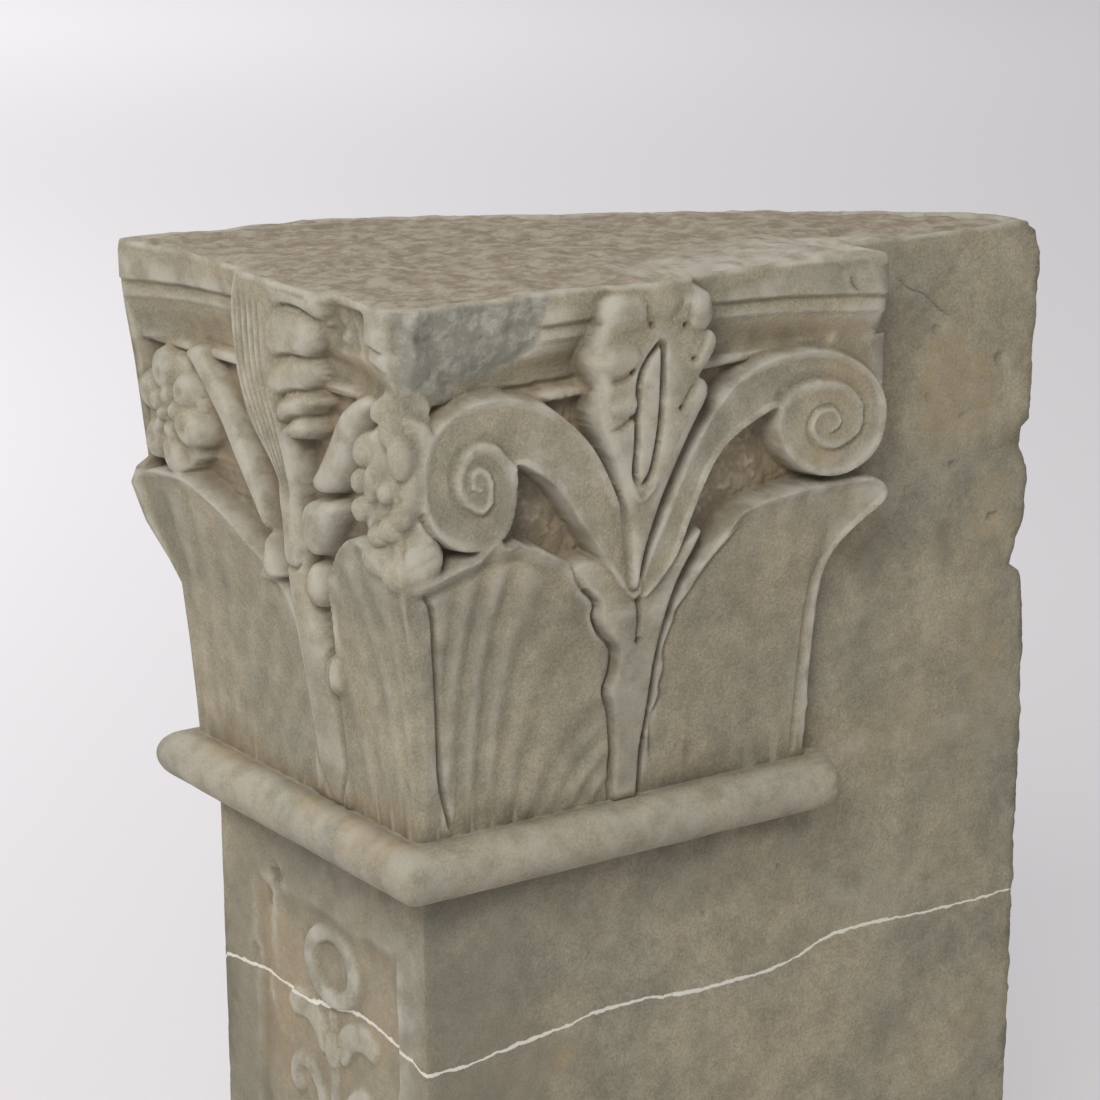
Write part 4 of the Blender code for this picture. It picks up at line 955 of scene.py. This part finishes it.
    def front(self) -> tuple[np.ndarray, dict[str, np.ndarray]]:
        """Points and layers of the front face, from the arris to the far corner."""
        columns = np.linspace(0.0, self.shaft_face, int(self.shaft_face / self.grain))
        height = self.plain[:, None]
        near = self.near[:, None]
        far = self.far[:, None]
        y = columns - self.stretch(columns, near, 0.10) + self.stretch(self.shaft_face - columns, far, 0.10)
        up = np.broadcast_to(height / MM, y.shape)
        sheet = Sheet(y / MM, up, np.zeros(y.shape))
        carved = FrontCarving().carve(y[self.bell] / MM, up[self.bell])
        panel = ShaftPanel().carve(y[self.shaft] / MM, up[self.shaft])
        for rows, part in ((self.bell, carved), (self.shaft, panel)):
            sheet.out[rows] = part.out
            for name in LAYERS:
                sheet.layers[name][rows] = part.layers[name]
        low = near / MM
        high = far / MM
        out = low + (sheet.out - low) * ramp(0.0, 6.0, y / MM + low)
        out = high + (out - high) * ramp(0.0, 6.0, (self.shaft_face - y) / MM + high)
        sheet.out[self.bell] = out[self.bell]
        sheet.out[self.roll] = (self.roll_out[:, None] / MM + 0.35 * layered(25.0, 95, 3, y / MM, up))[self.roll]
        z = np.broadcast_to(self.roll_up[:, None], y.shape)
        self.weather_face(sheet)
        for layer, across, rise, size, amount in self.front_stains:
            sheet.stain(layer, across, rise, size, amount)
        layers = {name: values[:, 1:] for name, values in sheet.layers.items()}
        return np.stack([-sheet.out * MM, y, z], axis=2)[:, 1:], layers

    def swell(self, points: np.ndarray, layers: dict[str, np.ndarray], side_columns: int) -> None:
        """Raises the broken leaf tip and the worn rosette, as lumps round the near corner.

        Args:
            points: The rings' points, which are moved.
            layers: What shows at each point; the broken tip is rubbed pale.
            side_columns: How many columns the side face has.
        """
        heart = 35.0
        near = self.near[self.bell, None] / MM
        x, y, z = np.moveaxis(points[self.bell] / MM, 2, 0)
        on_side = np.arange(points.shape[1])[None, :] < side_columns
        base_x = np.where(on_side, x, -near)
        base_y = np.where(on_side, -near, y)
        gap = np.hypot(base_x - heart, base_y - heart) + 1e-9
        turn_x = (base_x - heart) / gap
        turn_y = (base_y - heart) / gap
        reach = (x - heart) * turn_x + (y - heart) * turn_y
        close = (x < 70.0) & (y < 60.0)
        grown = reach.copy()
        pale = np.zeros(reach.shape)
        uneven = 0.8 * layered(9.0, 141, 3, base_x + 2.0 * base_y, z)
        for index, (across, along, up, wide, deep, tall) in enumerate(self.lumps):
            square = (turn_x / wide) ** 2 + (turn_y / deep) ** 2
            twice = 2.0 * (turn_x * (heart - across) / wide ** 2 + turn_y * (heart - along) / deep ** 2)
            rest = ((heart - across) / wide) ** 2 + ((heart - along) / deep) ** 2 + ((z - up) / tall) ** 2 - 1.0
            held = twice ** 2 - 4.0 * square * rest
            far = (-twice + np.sqrt(np.maximum(held, 0.0))) / (2.0 * square) + uneven
            raised = close & (held > 0.0) & (far > grown)
            grown = np.where(raised, far, grown)
            pale = np.where(raised, 0.85 if index < self.pale_lumps else 0.5, pale)
        lift = grown - reach
        lift = 0.5 * lift + 0.125 * (np.roll(lift, 1, 0) + np.roll(lift, -1, 0) + np.roll(lift, 1, 1) + np.roll(lift, -1, 1))
        grown = reach + lift
        share = ramp(0.0, 2.0, lift)
        points[self.bell, :, 0] += share * (heart + turn_x * grown - x) * MM
        points[self.bell, :, 1] += share * (heart + turn_y * grown - y) * MM
        dip = np.clip((blurred(grown, 6) - grown) / 3.0, 0.0, 1.0)
        for name in ("ground", "soot_and_shade", "hollow", "edge"):
            layers[name][self.bell] *= 1.0 - share
        layers["hollow"][self.bell] += dip * share
        layers["edge"][self.bell] = np.maximum(layers["edge"][self.bell], pale)

    def back(self) -> tuple[np.ndarray, dict[str, np.ndarray]]:
        """Points and layers of the hidden back's plain mouldings."""
        columns = np.linspace(0.0, self.back_return, 40)
        height = self.plain[:, None]
        far = self.far[:, None]
        x = columns - self.stretch(columns, far, 0.06)
        up = np.broadcast_to(height / MM, x.shape)
        sheet = Sheet(x / MM, up, np.zeros(x.shape))
        bell = Sheet(x[self.bell] / MM, up[self.bell],
                     keyed(self.back_corner, up[self.bell]) * (1.0 - 0.35 * ramp(-40.0, 60.0, x[self.bell] / MM)))
        abacus(bell, 160.0, 215.0)
        sheet.out[self.bell] = bell.out
        high = far / MM
        out = high + (sheet.out - high) * ramp(0.0, 6.0, x / MM + high)
        sheet.out[self.bell] = out[self.bell]
        roll_end = self.back_return - self.roll_back_stop
        on_roll = (self.roll_out > 0)[:, None] * (1.0 - ramp(roll_end - 0.001, roll_end + 0.001, x))
        sheet.out += self.roll_out[:, None] / MM * on_roll
        z = height + (self.roll_up[:, None] - height) * on_roll
        self.back_edge = sheet.out[:, -1] * MM
        self.weather_face(sheet)
        layers = {name: values[:, 1:] for name, values in sheet.layers.items()}
        return np.stack([x, self.shaft_face + sheet.out * MM, z], axis=2)[:, 1:], layers

    def hewn_cut(self) -> tuple[np.ndarray, dict[str, np.ndarray]]:
        """Points and layers of the rough cut behind, from the mouldings to the slab's thin end."""
        share = np.linspace(0.0, 1.0, 110)[None, 1:]
        height = self.plain[:, None]
        last = self.slab_end(height)
        start = (self.back_return, self.shaft_face + self.cut_clearance)
        x = start[0] + (last - 0.012 - start[0]) * share
        y = start[1] + (self.slab_end_thickness - start[1]) * share
        middle = np.sin(math.pi * share)
        tooling = rough(0.05, 21, x, y, height + 0.0 * x)
        slant = x * 0.8 + height
        strokes = np.abs(np.sin(260.0 * slant + 3.0 * rough(0.04, 23, x, height + 0.0 * x)))
        belly = middle * (0.010 + 0.005 * tooling) - 0.0016 * strokes * ramp(0.0, 0.05, middle)
        belly = belly + 0.0015 * layered(0.02, 25, 3, x, height + 0.0 * x) * middle
        x = x + belly
        y = np.minimum(y + belly, self.shaft_face + self.back_edge[:, None])
        layers = {name: np.zeros(x.shape) for name in LAYERS}
        layers["bed"][:] = 0.5
        return np.stack([x, y, np.broadcast_to(height, x.shape)], axis=2), layers

    def thin_end(self) -> tuple[np.ndarray, dict[str, np.ndarray]]:
        """Points and layers of the slab's ragged thin end."""
        share = np.linspace(0.0, 1.0, 22)[None, 1:-1]
        height = self.plain[:, None]
        last = self.slab_end(height)
        x = last - 0.012 * (1.0 - share) + 0.008 * np.sin(math.pi * share)
        y = self.slab_end_thickness * (1.0 - share)
        x = x + 0.0015 * layered(0.015, 27, 3, y + 0.0 * x, height + 0.0 * x)
        layers = {name: np.zeros(x.shape) for name in LAYERS}
        layers["bed"][:] = 0.3
        return np.stack([x, y + 0.0 * x, np.broadcast_to(height, x.shape)], axis=2), layers

    def top_bed(self, points: np.ndarray, layers: dict[str, np.ndarray]) -> tuple[np.ndarray, dict[str, np.ndarray]]:
        """Adds the rough top bed as rings that shrink inwards from the worn rim."""
        rim = points[-1]
        middle = np.array([0.45 * self.side_run, 0.45 * self.shaft_face])
        shares = np.concatenate([[0.002, 0.006, 0.012, 0.02], np.linspace(0.03, 0.975, 130)])
        rise = self.capital_rise - rim[0, 2]
        added = []
        for share in shares:
            ring = rim.copy()
            ring[:, :2] += (middle - rim[:, :2]) * share
            x, y = ring[:, 0], ring[:, 1]
            bumps = layered(0.040, 111, 4, x, y) + 0.5 * layered(0.009, 117, 2, x, y)
            over = rise * np.sqrt(1.0 - (1.0 - min(share / 0.02, 1.0)) ** 2)
            dents = 0.0020 * bumps - 0.0018 - 0.005 * bump(0.0, 0.14, share) * np.abs(rough(0.03, 119, x, y))
            ring[:, 2] = rim[:, 2] + over + np.minimum(dents, 0.0) * ramp(0.0, 0.03, share)
            added.append(ring)
        for name in LAYERS:
            bed = np.zeros((len(shares), points.shape[1]))
            if name == "bed":
                bed[:] = ramp(0.004, 0.03, shares)[:, None]
            if name == "edge":
                bed[:] = 0.9 * (1.0 - ramp(0.015, 0.07, shares))[:, None]
                horn = np.hypot(rim[None, :, 0] - 0.33, rim[None, :, 1] + 0.03)
                bed = np.maximum(bed, 1.0 * (1.0 - ramp(0.06, 0.22, horn)) * (1.0 - ramp(0.2, 0.6, shares))[:, None])
            layers[name] = np.concatenate([layers[name], bed])
        return np.concatenate([points, np.array(added)]), layers

    def wear_corner(self, points: np.ndarray) -> np.ndarray:
        """Rounds the near corner's arris, more on the neck roll and along the leaf's corner rib."""
        rows = len(self.plain)
        rib = ramp(0.020, 0.050, self.plain) * (1.0 - ramp(0.170, 0.205, self.plain))
        radius = 0.0022 + 0.0012 * layered(0.03, 121, 4, self.plain) + 0.008 * rib
        radius = np.where(self.roll_out > 0, 0.006, np.clip(radius, 0.0008, None))[:, None]
        corner = -self.near[:, None]
        x = points[:rows, :, 0]
        y = points[:rows, :, 1]
        on_side = np.abs(y - corner) < np.abs(x - corner)
        along = np.where(on_side, x - corner, y - corner)
        close = (along < radius) & (along > -1e-4) & (np.abs(np.where(on_side, y, x) - corner) < 0.006)
        angle = 0.25 * math.pi * (1.0 - np.clip(along / radius, 0.0, 1.0))
        slip = np.where(close, radius - radius * np.sin(angle) - along, 0.0)
        sink = np.where(close, radius - radius * np.cos(angle), 0.0)
        points[:rows, :, 0] += np.where(on_side, slip, sink)
        points[:rows, :, 1] += np.where(on_side, sink, slip)
        return points

    def build(self) -> bpy.types.Object:
        """Models the stone from a wrapped grid and thins it where it is plain."""
        self.rows()
        faces = [self.side(), self.front(), self.back(), self.hewn_cut(), self.thin_end()]
        points = np.concatenate([face[0] for face in faces], axis=1)
        layers = {name: np.concatenate([face[1][name] for face in faces], axis=1) for name in LAYERS}
        points = self.wear_corner(points)
        self.swell(points, layers, faces[0][0].shape[1])
        points, layers = self.top_bed(points, layers)
        log.info("rings %d, columns %d", *points.shape[:2])
        points = points + np.array([self.arris[0], self.arris[1], self.shaft_drop])
        low, high = np.array(CAD_BOX)
        points = np.clip(points, low, high)
        stone = self.wrap(points, layers)
        inside = np.zeros(len(stone.data.vertices) * 3, np.float32)
        stone.data.vertices.foreach_get("co", inside)
        inside = np.clip(inside.reshape(-1, 3), low, high)
        stone.data.vertices.foreach_set("co", inside.ravel().astype(np.float32))
        stone.data.update()
        return stone

    def wrap(self, points: np.ndarray, layers: dict[str, np.ndarray]) -> bpy.types.Object:
        """Wraps a grid round the rings, closes its ends and thins it to its triangles.

        Args:
            points: Rows of closed rings, from the underside up.
            layers: What shows at each point.

        Returns:
            The stone as one closed mesh with an attribute for each layer.
        """
        levels, columns, _ = points.shape
        bpy.ops.object.select_all(action="DESELECT")
        bpy.ops.mesh.primitive_grid_add(x_subdivisions=columns, y_subdivisions=levels - 1, size=2.0)
        stone = bpy.context.active_object
        stone.name = self.name
        mesh = stone.data
        mesh.name = self.name
        flat = np.zeros(len(mesh.vertices) * 3, np.float32)
        mesh.vertices.foreach_get("co", flat)
        flat = flat.reshape(-1, 3)
        order = np.lexsort((np.round(flat[:, 0], 5), np.round(flat[:, 1], 5)))
        level, column = np.divmod(np.arange(len(order)), columns + 1)
        column = column % columns
        placed = np.empty_like(flat)
        placed[order] = points[level, column]
        mesh.vertices.foreach_set("co", placed.ravel())
        for name in LAYERS:
            shown = np.empty(len(order), np.float32)
            shown[order] = np.clip(layers[name], 0.0, 1.0)[level, column]
            mesh.attributes.new(name, "FLOAT", "POINT").data.foreach_set("value", shown)
        while mesh.uv_layers:
            mesh.uv_layers.remove(mesh.uv_layers[0])
        mesh.update()
        bpy.ops.object.mode_set(mode="EDIT")
        bpy.ops.mesh.select_all(action="SELECT")
        bpy.ops.mesh.remove_doubles(threshold=1e-6)
        bpy.ops.mesh.select_all(action="SELECT")
        bpy.ops.mesh.fill_holes(sides=0)
        bpy.ops.mesh.normals_make_consistent(inside=False)
        bpy.ops.mesh.quads_convert_to_tris()
        bpy.ops.object.mode_set(mode="OBJECT")
        before = len(mesh.polygons)
        thin = stone.modifiers.new("thin", "DECIMATE")
        thin.ratio = min(1.0, self.triangles / before)
        bpy.ops.object.modifier_apply(modifier="thin")
        bpy.ops.object.shade_smooth()
        log.info("triangles %d from %d", len(stone.data.polygons), before)
        return stone


class Nodes:
    """A small helper that adds and joins shader nodes."""

    def __init__(self, tree: bpy.types.NodeTree) -> None:
        """Keeps the tree that the nodes go in."""
        self.tree = tree

    def add(self, kind: str, **settings: object) -> bpy.types.Node:
        """Adds a node and sets its properties."""
        node = self.tree.nodes.new(kind)
        for name, value in settings.items():
            setattr(node, name, value)
        return node

    def join(self, source: Union[bpy.types.NodeSocket, float, tuple], target: bpy.types.NodeSocket) -> None:
        """Links a socket to another, or sets a plain value on it."""
        if isinstance(source, bpy.types.NodeSocket):
            self.tree.links.new(source, target)
        else:
            target.default_value = source

    def math(self, operation: str, first: object, second: object = 0.0, clamp: bool = False) -> bpy.types.NodeSocket:
        """A sum of two values or sockets."""
        node = self.add("ShaderNodeMath", operation=operation, use_clamp=clamp)
        self.join(first, node.inputs[0])
        self.join(second, node.inputs[1])
        return node.outputs[0]

    def noise(self, place: bpy.types.NodeSocket, scale: float, detail: float = 3.0,
              rough_share: float = 0.5) -> bpy.types.NodeSocket:
        """Soft noise between 0 and 1."""
        node = self.add("ShaderNodeTexNoise")
        self.join(place, node.inputs["Vector"])
        node.inputs["Scale"].default_value = scale
        node.inputs["Detail"].default_value = detail
        node.inputs["Roughness"].default_value = rough_share
        return node.outputs["Fac"]

    def stretch(self, value: bpy.types.NodeSocket, low: float, high: float, to_low: float = 0.0,
                to_high: float = 1.0) -> bpy.types.NodeSocket:
        """Maps a range to another and clamps it."""
        node = self.add("ShaderNodeMapRange", interpolation_type="SMOOTHSTEP")
        self.join(value, node.inputs["Value"])
        for name, size in (("From Min", low), ("From Max", high), ("To Min", to_low), ("To Max", to_high)):
            node.inputs[name].default_value = size
        return node.outputs["Result"]

    def mix(self, share: object, first: object, second: object, blend: str = "MIX") -> bpy.types.NodeSocket:
        """Mixes two colours."""
        node = self.add("ShaderNodeMix", data_type="RGBA", blend_type=blend)
        self.join(share, node.inputs[0])
        self.join(first, node.inputs[6])
        self.join(second, node.inputs[7])
        return node.outputs[2]

    def layer(self, name: str) -> bpy.types.NodeSocket:
        """Reads one of the stone's own layers."""
        return self.add("ShaderNodeAttribute", attribute_name=name).outputs["Fac"]


@dataclass(frozen=True)
class SandstoneFinish:
    """Weathered grey-beige sandstone with ochre ground, darkened hollows, painted shade in its grooves and under the
    neck roll, rubbed edges, a painted highlight on the roll and a white vein.
    """

    grey: tuple[float, float, float, float] = (0.262, 0.243, 0.180, 1.0)
    beige: tuple[float, float, float, float] = (0.330, 0.288, 0.202, 1.0)
    ochre: tuple[float, float, float, float] = (0.34, 0.255, 0.140, 1.0)
    # The dark brown of the darkened hollows and of the painted shade.
    umber: tuple[float, float, float, float] = (0.105, 0.085, 0.060, 1.0)
    # The pale of rubbed edges, of bed specks and of the painted highlight on the roll.
    pale: tuple[float, float, float, float] = (0.47, 0.445, 0.375, 1.0)
    fresh: tuple[float, float, float, float] = (0.225, 0.222, 0.188, 1.0)
    fresh_pale: tuple[float, float, float, float] = (0.38, 0.37, 0.315, 1.0)
    ground: tuple[float, float, float, float] = (0.36, 0.275, 0.180, 1.0)
    # The dark grey of stains and of the painted shade under the neck roll.
    damp_and_shade: tuple[float, float, float, float] = (0.165, 0.155, 0.120, 1.0)
    bed: tuple[float, float, float, float] = (0.37, 0.325, 0.250, 1.0)
    earth: tuple[float, float, float, float] = (0.235, 0.185, 0.130, 1.0)
    white: tuple[float, float, float, float] = (0.68, 0.65, 0.57, 1.0)
    arris: tuple[float, float, float] = (-0.26322, -0.14613, 0.590)
    vein: Outline = ((-300, -168), (-241, -159), (-209, -161), (-137, -157), (-94, -150), (-51, -154), (-24, -157),
                     (4, -162), (63, -158), (116, -153), (171, -148), (237, -153), (314, -153), (394, -137),
                     (487, -141), (565, -141))
    vein_low: float = -175.0
    vein_high: float = -130.0

    def vein_mask(self, nodes: Nodes, place: bpy.types.NodeSocket) -> bpy.types.NodeSocket:
        """The thin white vein, which runs through the whole block at a slant."""
        apart = nodes.add("ShaderNodeSeparateXYZ")
        nodes.join(place, apart.inputs[0])
        x = nodes.math("SUBTRACT", apart.outputs[0], self.arris[0])
        y = nodes.math("SUBTRACT", apart.outputs[1], self.arris[1])
        z = nodes.math("SUBTRACT", apart.outputs[2], self.arris[2])
        first = self.vein[0][0] * MM
        run = (self.vein[-1][0] - self.vein[0][0]) * MM
        along = nodes.math("DIVIDE", nodes.math("SUBTRACT", nodes.math("SUBTRACT", x, y), first), run)
        curve = nodes.add("ShaderNodeFloatCurve")
        line = curve.mapping.curves[0]
        while len(line.points) > 2:
            line.points.remove(line.points[1])
        span = self.vein_high - self.vein_low
        spots = [((a - self.vein[0][0]) / (run / MM), (z_mm - self.vein_low) / span) for a, z_mm in self.vein]
        line.points[0].location = spots[0]
        line.points[-1].location = spots[-1]
        for spot in spots[1:-1]:
            line.points.new(*spot)
        curve.mapping.update()
        nodes.join(along, curve.inputs["Value"])
        level = nodes.math("ADD", nodes.math("MULTIPLY", curve.outputs[0], span * MM), self.vein_low * MM)
        waver = nodes.math("MULTIPLY", nodes.math("SUBTRACT", nodes.noise(place, 90.0, 4.0, 0.6), 0.5), 0.006)
        gap = nodes.math("ABSOLUTE", nodes.math("SUBTRACT", z, nodes.math("ADD", level, waver)))
        width = nodes.stretch(nodes.noise(place, 35.0, 2.0), 0.3, 0.7, 0.0007, 0.0017)
        thin = nodes.math("DIVIDE", gap, width)
        return nodes.stretch(thin, 1.35, 0.65)

    def material(self) -> bpy.types.Material:
        """Builds the stone's material on object coordinates and the stone's own layers."""
        material = bpy.data.materials.new("weathered_sandstone")
        material.use_nodes = True
        nodes = Nodes(material.node_tree)
        shader = material.node_tree.nodes["Principled BSDF"]
        place = nodes.add("ShaderNodeTexCoord").outputs["Object"]
        broad = nodes.stretch(nodes.noise(place, 9.0, 5.0, 0.65), 0.36, 0.64)
        colour = nodes.mix(broad, self.grey, self.beige)
        mottle = nodes.stretch(nodes.noise(place, 38.0, 6.0, 0.7), 0.28, 0.72, 0.80, 1.14)
        colour = nodes.mix(1.0, colour, mottle, "MULTIPLY")
        grain = nodes.stretch(nodes.noise(place, 520.0, 3.0, 0.7), 0.28, 0.72, 0.80, 1.17)
        colour = nodes.mix(1.0, colour, grain, "MULTIPLY")
        rust = nodes.stretch(nodes.noise(place, 26.0, 4.0, 0.65), 0.40, 0.62)
        ground = nodes.math("MULTIPLY", nodes.layer("ground"), nodes.math("ADD", nodes.math("MULTIPLY", rust, 0.55), 0.35))
        colour = nodes.mix(ground, colour, self.ground)
        # Stains, and the painted shade under the neck roll, darken towards a dark grey.
        damp_and_shade = nodes.math("MULTIPLY", nodes.layer("damp_and_shade"), 0.6)
        colour = nodes.mix(damp_and_shade, colour, self.damp_and_shade)
        stained = nodes.math("MULTIPLY", nodes.layer("ochre"), nodes.stretch(nodes.noise(place, 70.0, 4.0, 0.7), 0.3, 0.65, 0.2, 0.95))
        colour = nodes.mix(stained, colour, self.ochre)
        earth = nodes.mix(nodes.stretch(nodes.noise(place, 55.0, 5.0, 0.7), 0.38, 0.62), self.bed, self.earth)
        earth = nodes.mix(nodes.stretch(nodes.noise(place, 170.0, 5.0, 0.8), 0.56, 0.72, 0.0, 0.8), earth, self.pale)
        colour = nodes.mix(nodes.math("MULTIPLY", nodes.layer("bed"), 0.9), colour, earth)
        # Hollows are darkened towards umber by their depth.
        hollow = nodes.math("MULTIPLY", nodes.layer("hollow"), nodes.stretch(nodes.noise(place, 60.0, 3.0), 0.3, 0.7, 0.15, 0.5))
        colour = nodes.mix(hollow, colour, self.umber)
        # Painted shade: grooves, drill holes, moats, cracks and creases darken towards umber.
        colour = nodes.mix(nodes.math("MULTIPLY", nodes.layer("soot_and_shade"), 0.75), colour, self.umber)
        # Rubbed edges, and the painted highlight on the neck roll's top, turn pale.
        edge = nodes.math("MULTIPLY", nodes.layer("edge"), nodes.stretch(nodes.noise(place, 45.0, 3.0), 0.3, 0.65, 0.15, 0.85))
        colour = nodes.mix(edge, colour, self.pale)
        broken = nodes.mix(nodes.stretch(nodes.noise(place, 80.0, 5.0, 0.75), 0.42, 0.66), self.fresh, self.fresh_pale)
        colour = nodes.mix(nodes.math("MULTIPLY", nodes.layer("fresh"), 0.85), colour, broken)
        colour = nodes.mix(self.vein_mask(nodes, place), colour, self.white)
        nodes.join(colour, shader.inputs["Base Color"])
        shader.inputs["Roughness"].default_value = 0.9
        shader.inputs["Specular IOR Level"].default_value = 0.25
        fine = nodes.noise(place, 1100.0, 2.0, 0.6)
        middle = nodes.noise(place, 320.0, 4.0, 0.6)
        height = nodes.math("ADD", nodes.math("MULTIPLY", fine, 0.35), nodes.math("MULTIPLY", middle, 0.65))
        relief = nodes.add("ShaderNodeBump")
        relief.inputs["Strength"].default_value = 0.75
        relief.inputs["Distance"].default_value = 0.0014
        nodes.join(height, relief.inputs["Height"])
        nodes.join(relief.outputs[0], shader.inputs["Normal"])
        return material


@dataclass
class Studio:
    """Pale floor, soft light from the upper left, and the camera."""

    arris: tuple[float, float, float] = (-0.26322, -0.14613, 0.590)
    azimuth: float = -34.394
    elevation: float = 14.771
    roll: float = -0.350
    eye: tuple[float, float, float] = (-1.143, -1.8302, 0.7995)
    lens: float = 105.62
    sensor: float = 36.0
    floor_colour: tuple[float, float, float, float] = (0.77, 0.75, 0.765, 1.0)

    def floor(self) -> None:
        """Lays a plain pale floor."""
        bpy.ops.object.select_all(action="DESELECT")
        bpy.ops.mesh.primitive_plane_add(size=60.0, location=(0.0, 0.0, 0.0))
        floor = bpy.context.active_object
        floor.name = "floor"
        paint = bpy.data.materials.new("pale_floor")
        paint.use_nodes = True
        shader = paint.node_tree.nodes["Principled BSDF"]
        shader.inputs["Base Color"].default_value = self.floor_colour
        shader.inputs["Roughness"].default_value = 0.9
        floor.data.materials.append(paint)

    def lamp(self, name: str, place: tuple[float, float, float], aim: tuple[float, float, float], size: float,
             power: float, colour: tuple[float, float, float]) -> None:
        """Hangs a soft square lamp that looks at a point."""
        light = bpy.data.lights.new(name, "AREA")
        light.shape = "SQUARE"
        light.size = size
        light.energy = power
        light.color = colour
        lamp = bpy.data.objects.new(name, light)
        lamp.location = place
        lamp.rotation_euler = (Vector(aim) - Vector(place)).to_track_quat("-Z", "Y").to_euler()
        bpy.context.scene.collection.objects.link(lamp)

    def lights(self) -> None:
        """A large soft key from the upper left and an even room."""
        middle = (-0.15, -0.10, 0.75)
        self.lamp("key", (-2.1, -1.9, 2.7), middle, 1.2, 68.0, (1.0, 0.985, 0.96))
        self.lamp("near wash", (-2.5, 5.0, 3.5), (-1.8, 5.5, 0.0), 4.0, 250.0, (1.0, 0.985, 0.995))
        self.lamp("far wash", (3.2, 12.8, 7.0), (3.2, 12.8, 0.0), 6.0, 440.0, (1.0, 0.985, 0.995))
        world = bpy.data.worlds.new("even_room")
        world.use_nodes = True
        sky = world.node_tree.nodes["Background"]
        sky.inputs["Color"].default_value = (0.94, 0.935, 0.95, 1.0)
        sky.inputs["Strength"].default_value = 0.52
        bpy.context.scene.world = world
        bpy.context.scene.view_settings.view_transform = "Standard"

    def camera(self) -> None:
        """Stands the camera where the photograph was taken from."""
        turn, lift, roll = (math.radians(angle) for angle in (self.azimuth, self.elevation, self.roll))
        back = Vector((math.sin(turn) * math.cos(lift), -math.cos(turn) * math.cos(lift), math.sin(lift)))
        ahead = -back
        right = ahead.cross(Vector((0.0, 0.0, 1.0))).normalized()
        up = right.cross(ahead)
        across = math.cos(roll) * right + math.sin(roll) * up
        above = -math.sin(roll) * right + math.cos(roll) * up
        lens = bpy.data.cameras.new("camera")
        lens.lens = self.lens
        lens.sensor_width = self.sensor
        lens.clip_end = 100.0
        camera = bpy.data.objects.new("camera", lens)
        camera.matrix_world = Matrix.Translation(Vector(self.eye) + Vector(self.arris)) @ Matrix(
            (across, above, back)).transposed().to_4x4()
        bpy.context.scene.collection.objects.link(camera)
        bpy.context.scene.camera = camera


def main() -> None:
    """Models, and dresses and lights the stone."""
    logging.basicConfig(level=logging.INFO, format="%(message)s")
    stone = CarvedStone().build()
    stone.data.materials.clear()
    stone.data.materials.append(SandstoneFinish().material())
    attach(stone, "root")
    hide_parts("stone_column")
    log.info("stone: %s", stone.name)
    studio = Studio()
    studio.floor()
    studio.lights()
    studio.camera()


if __name__ == "__main__":
    main()
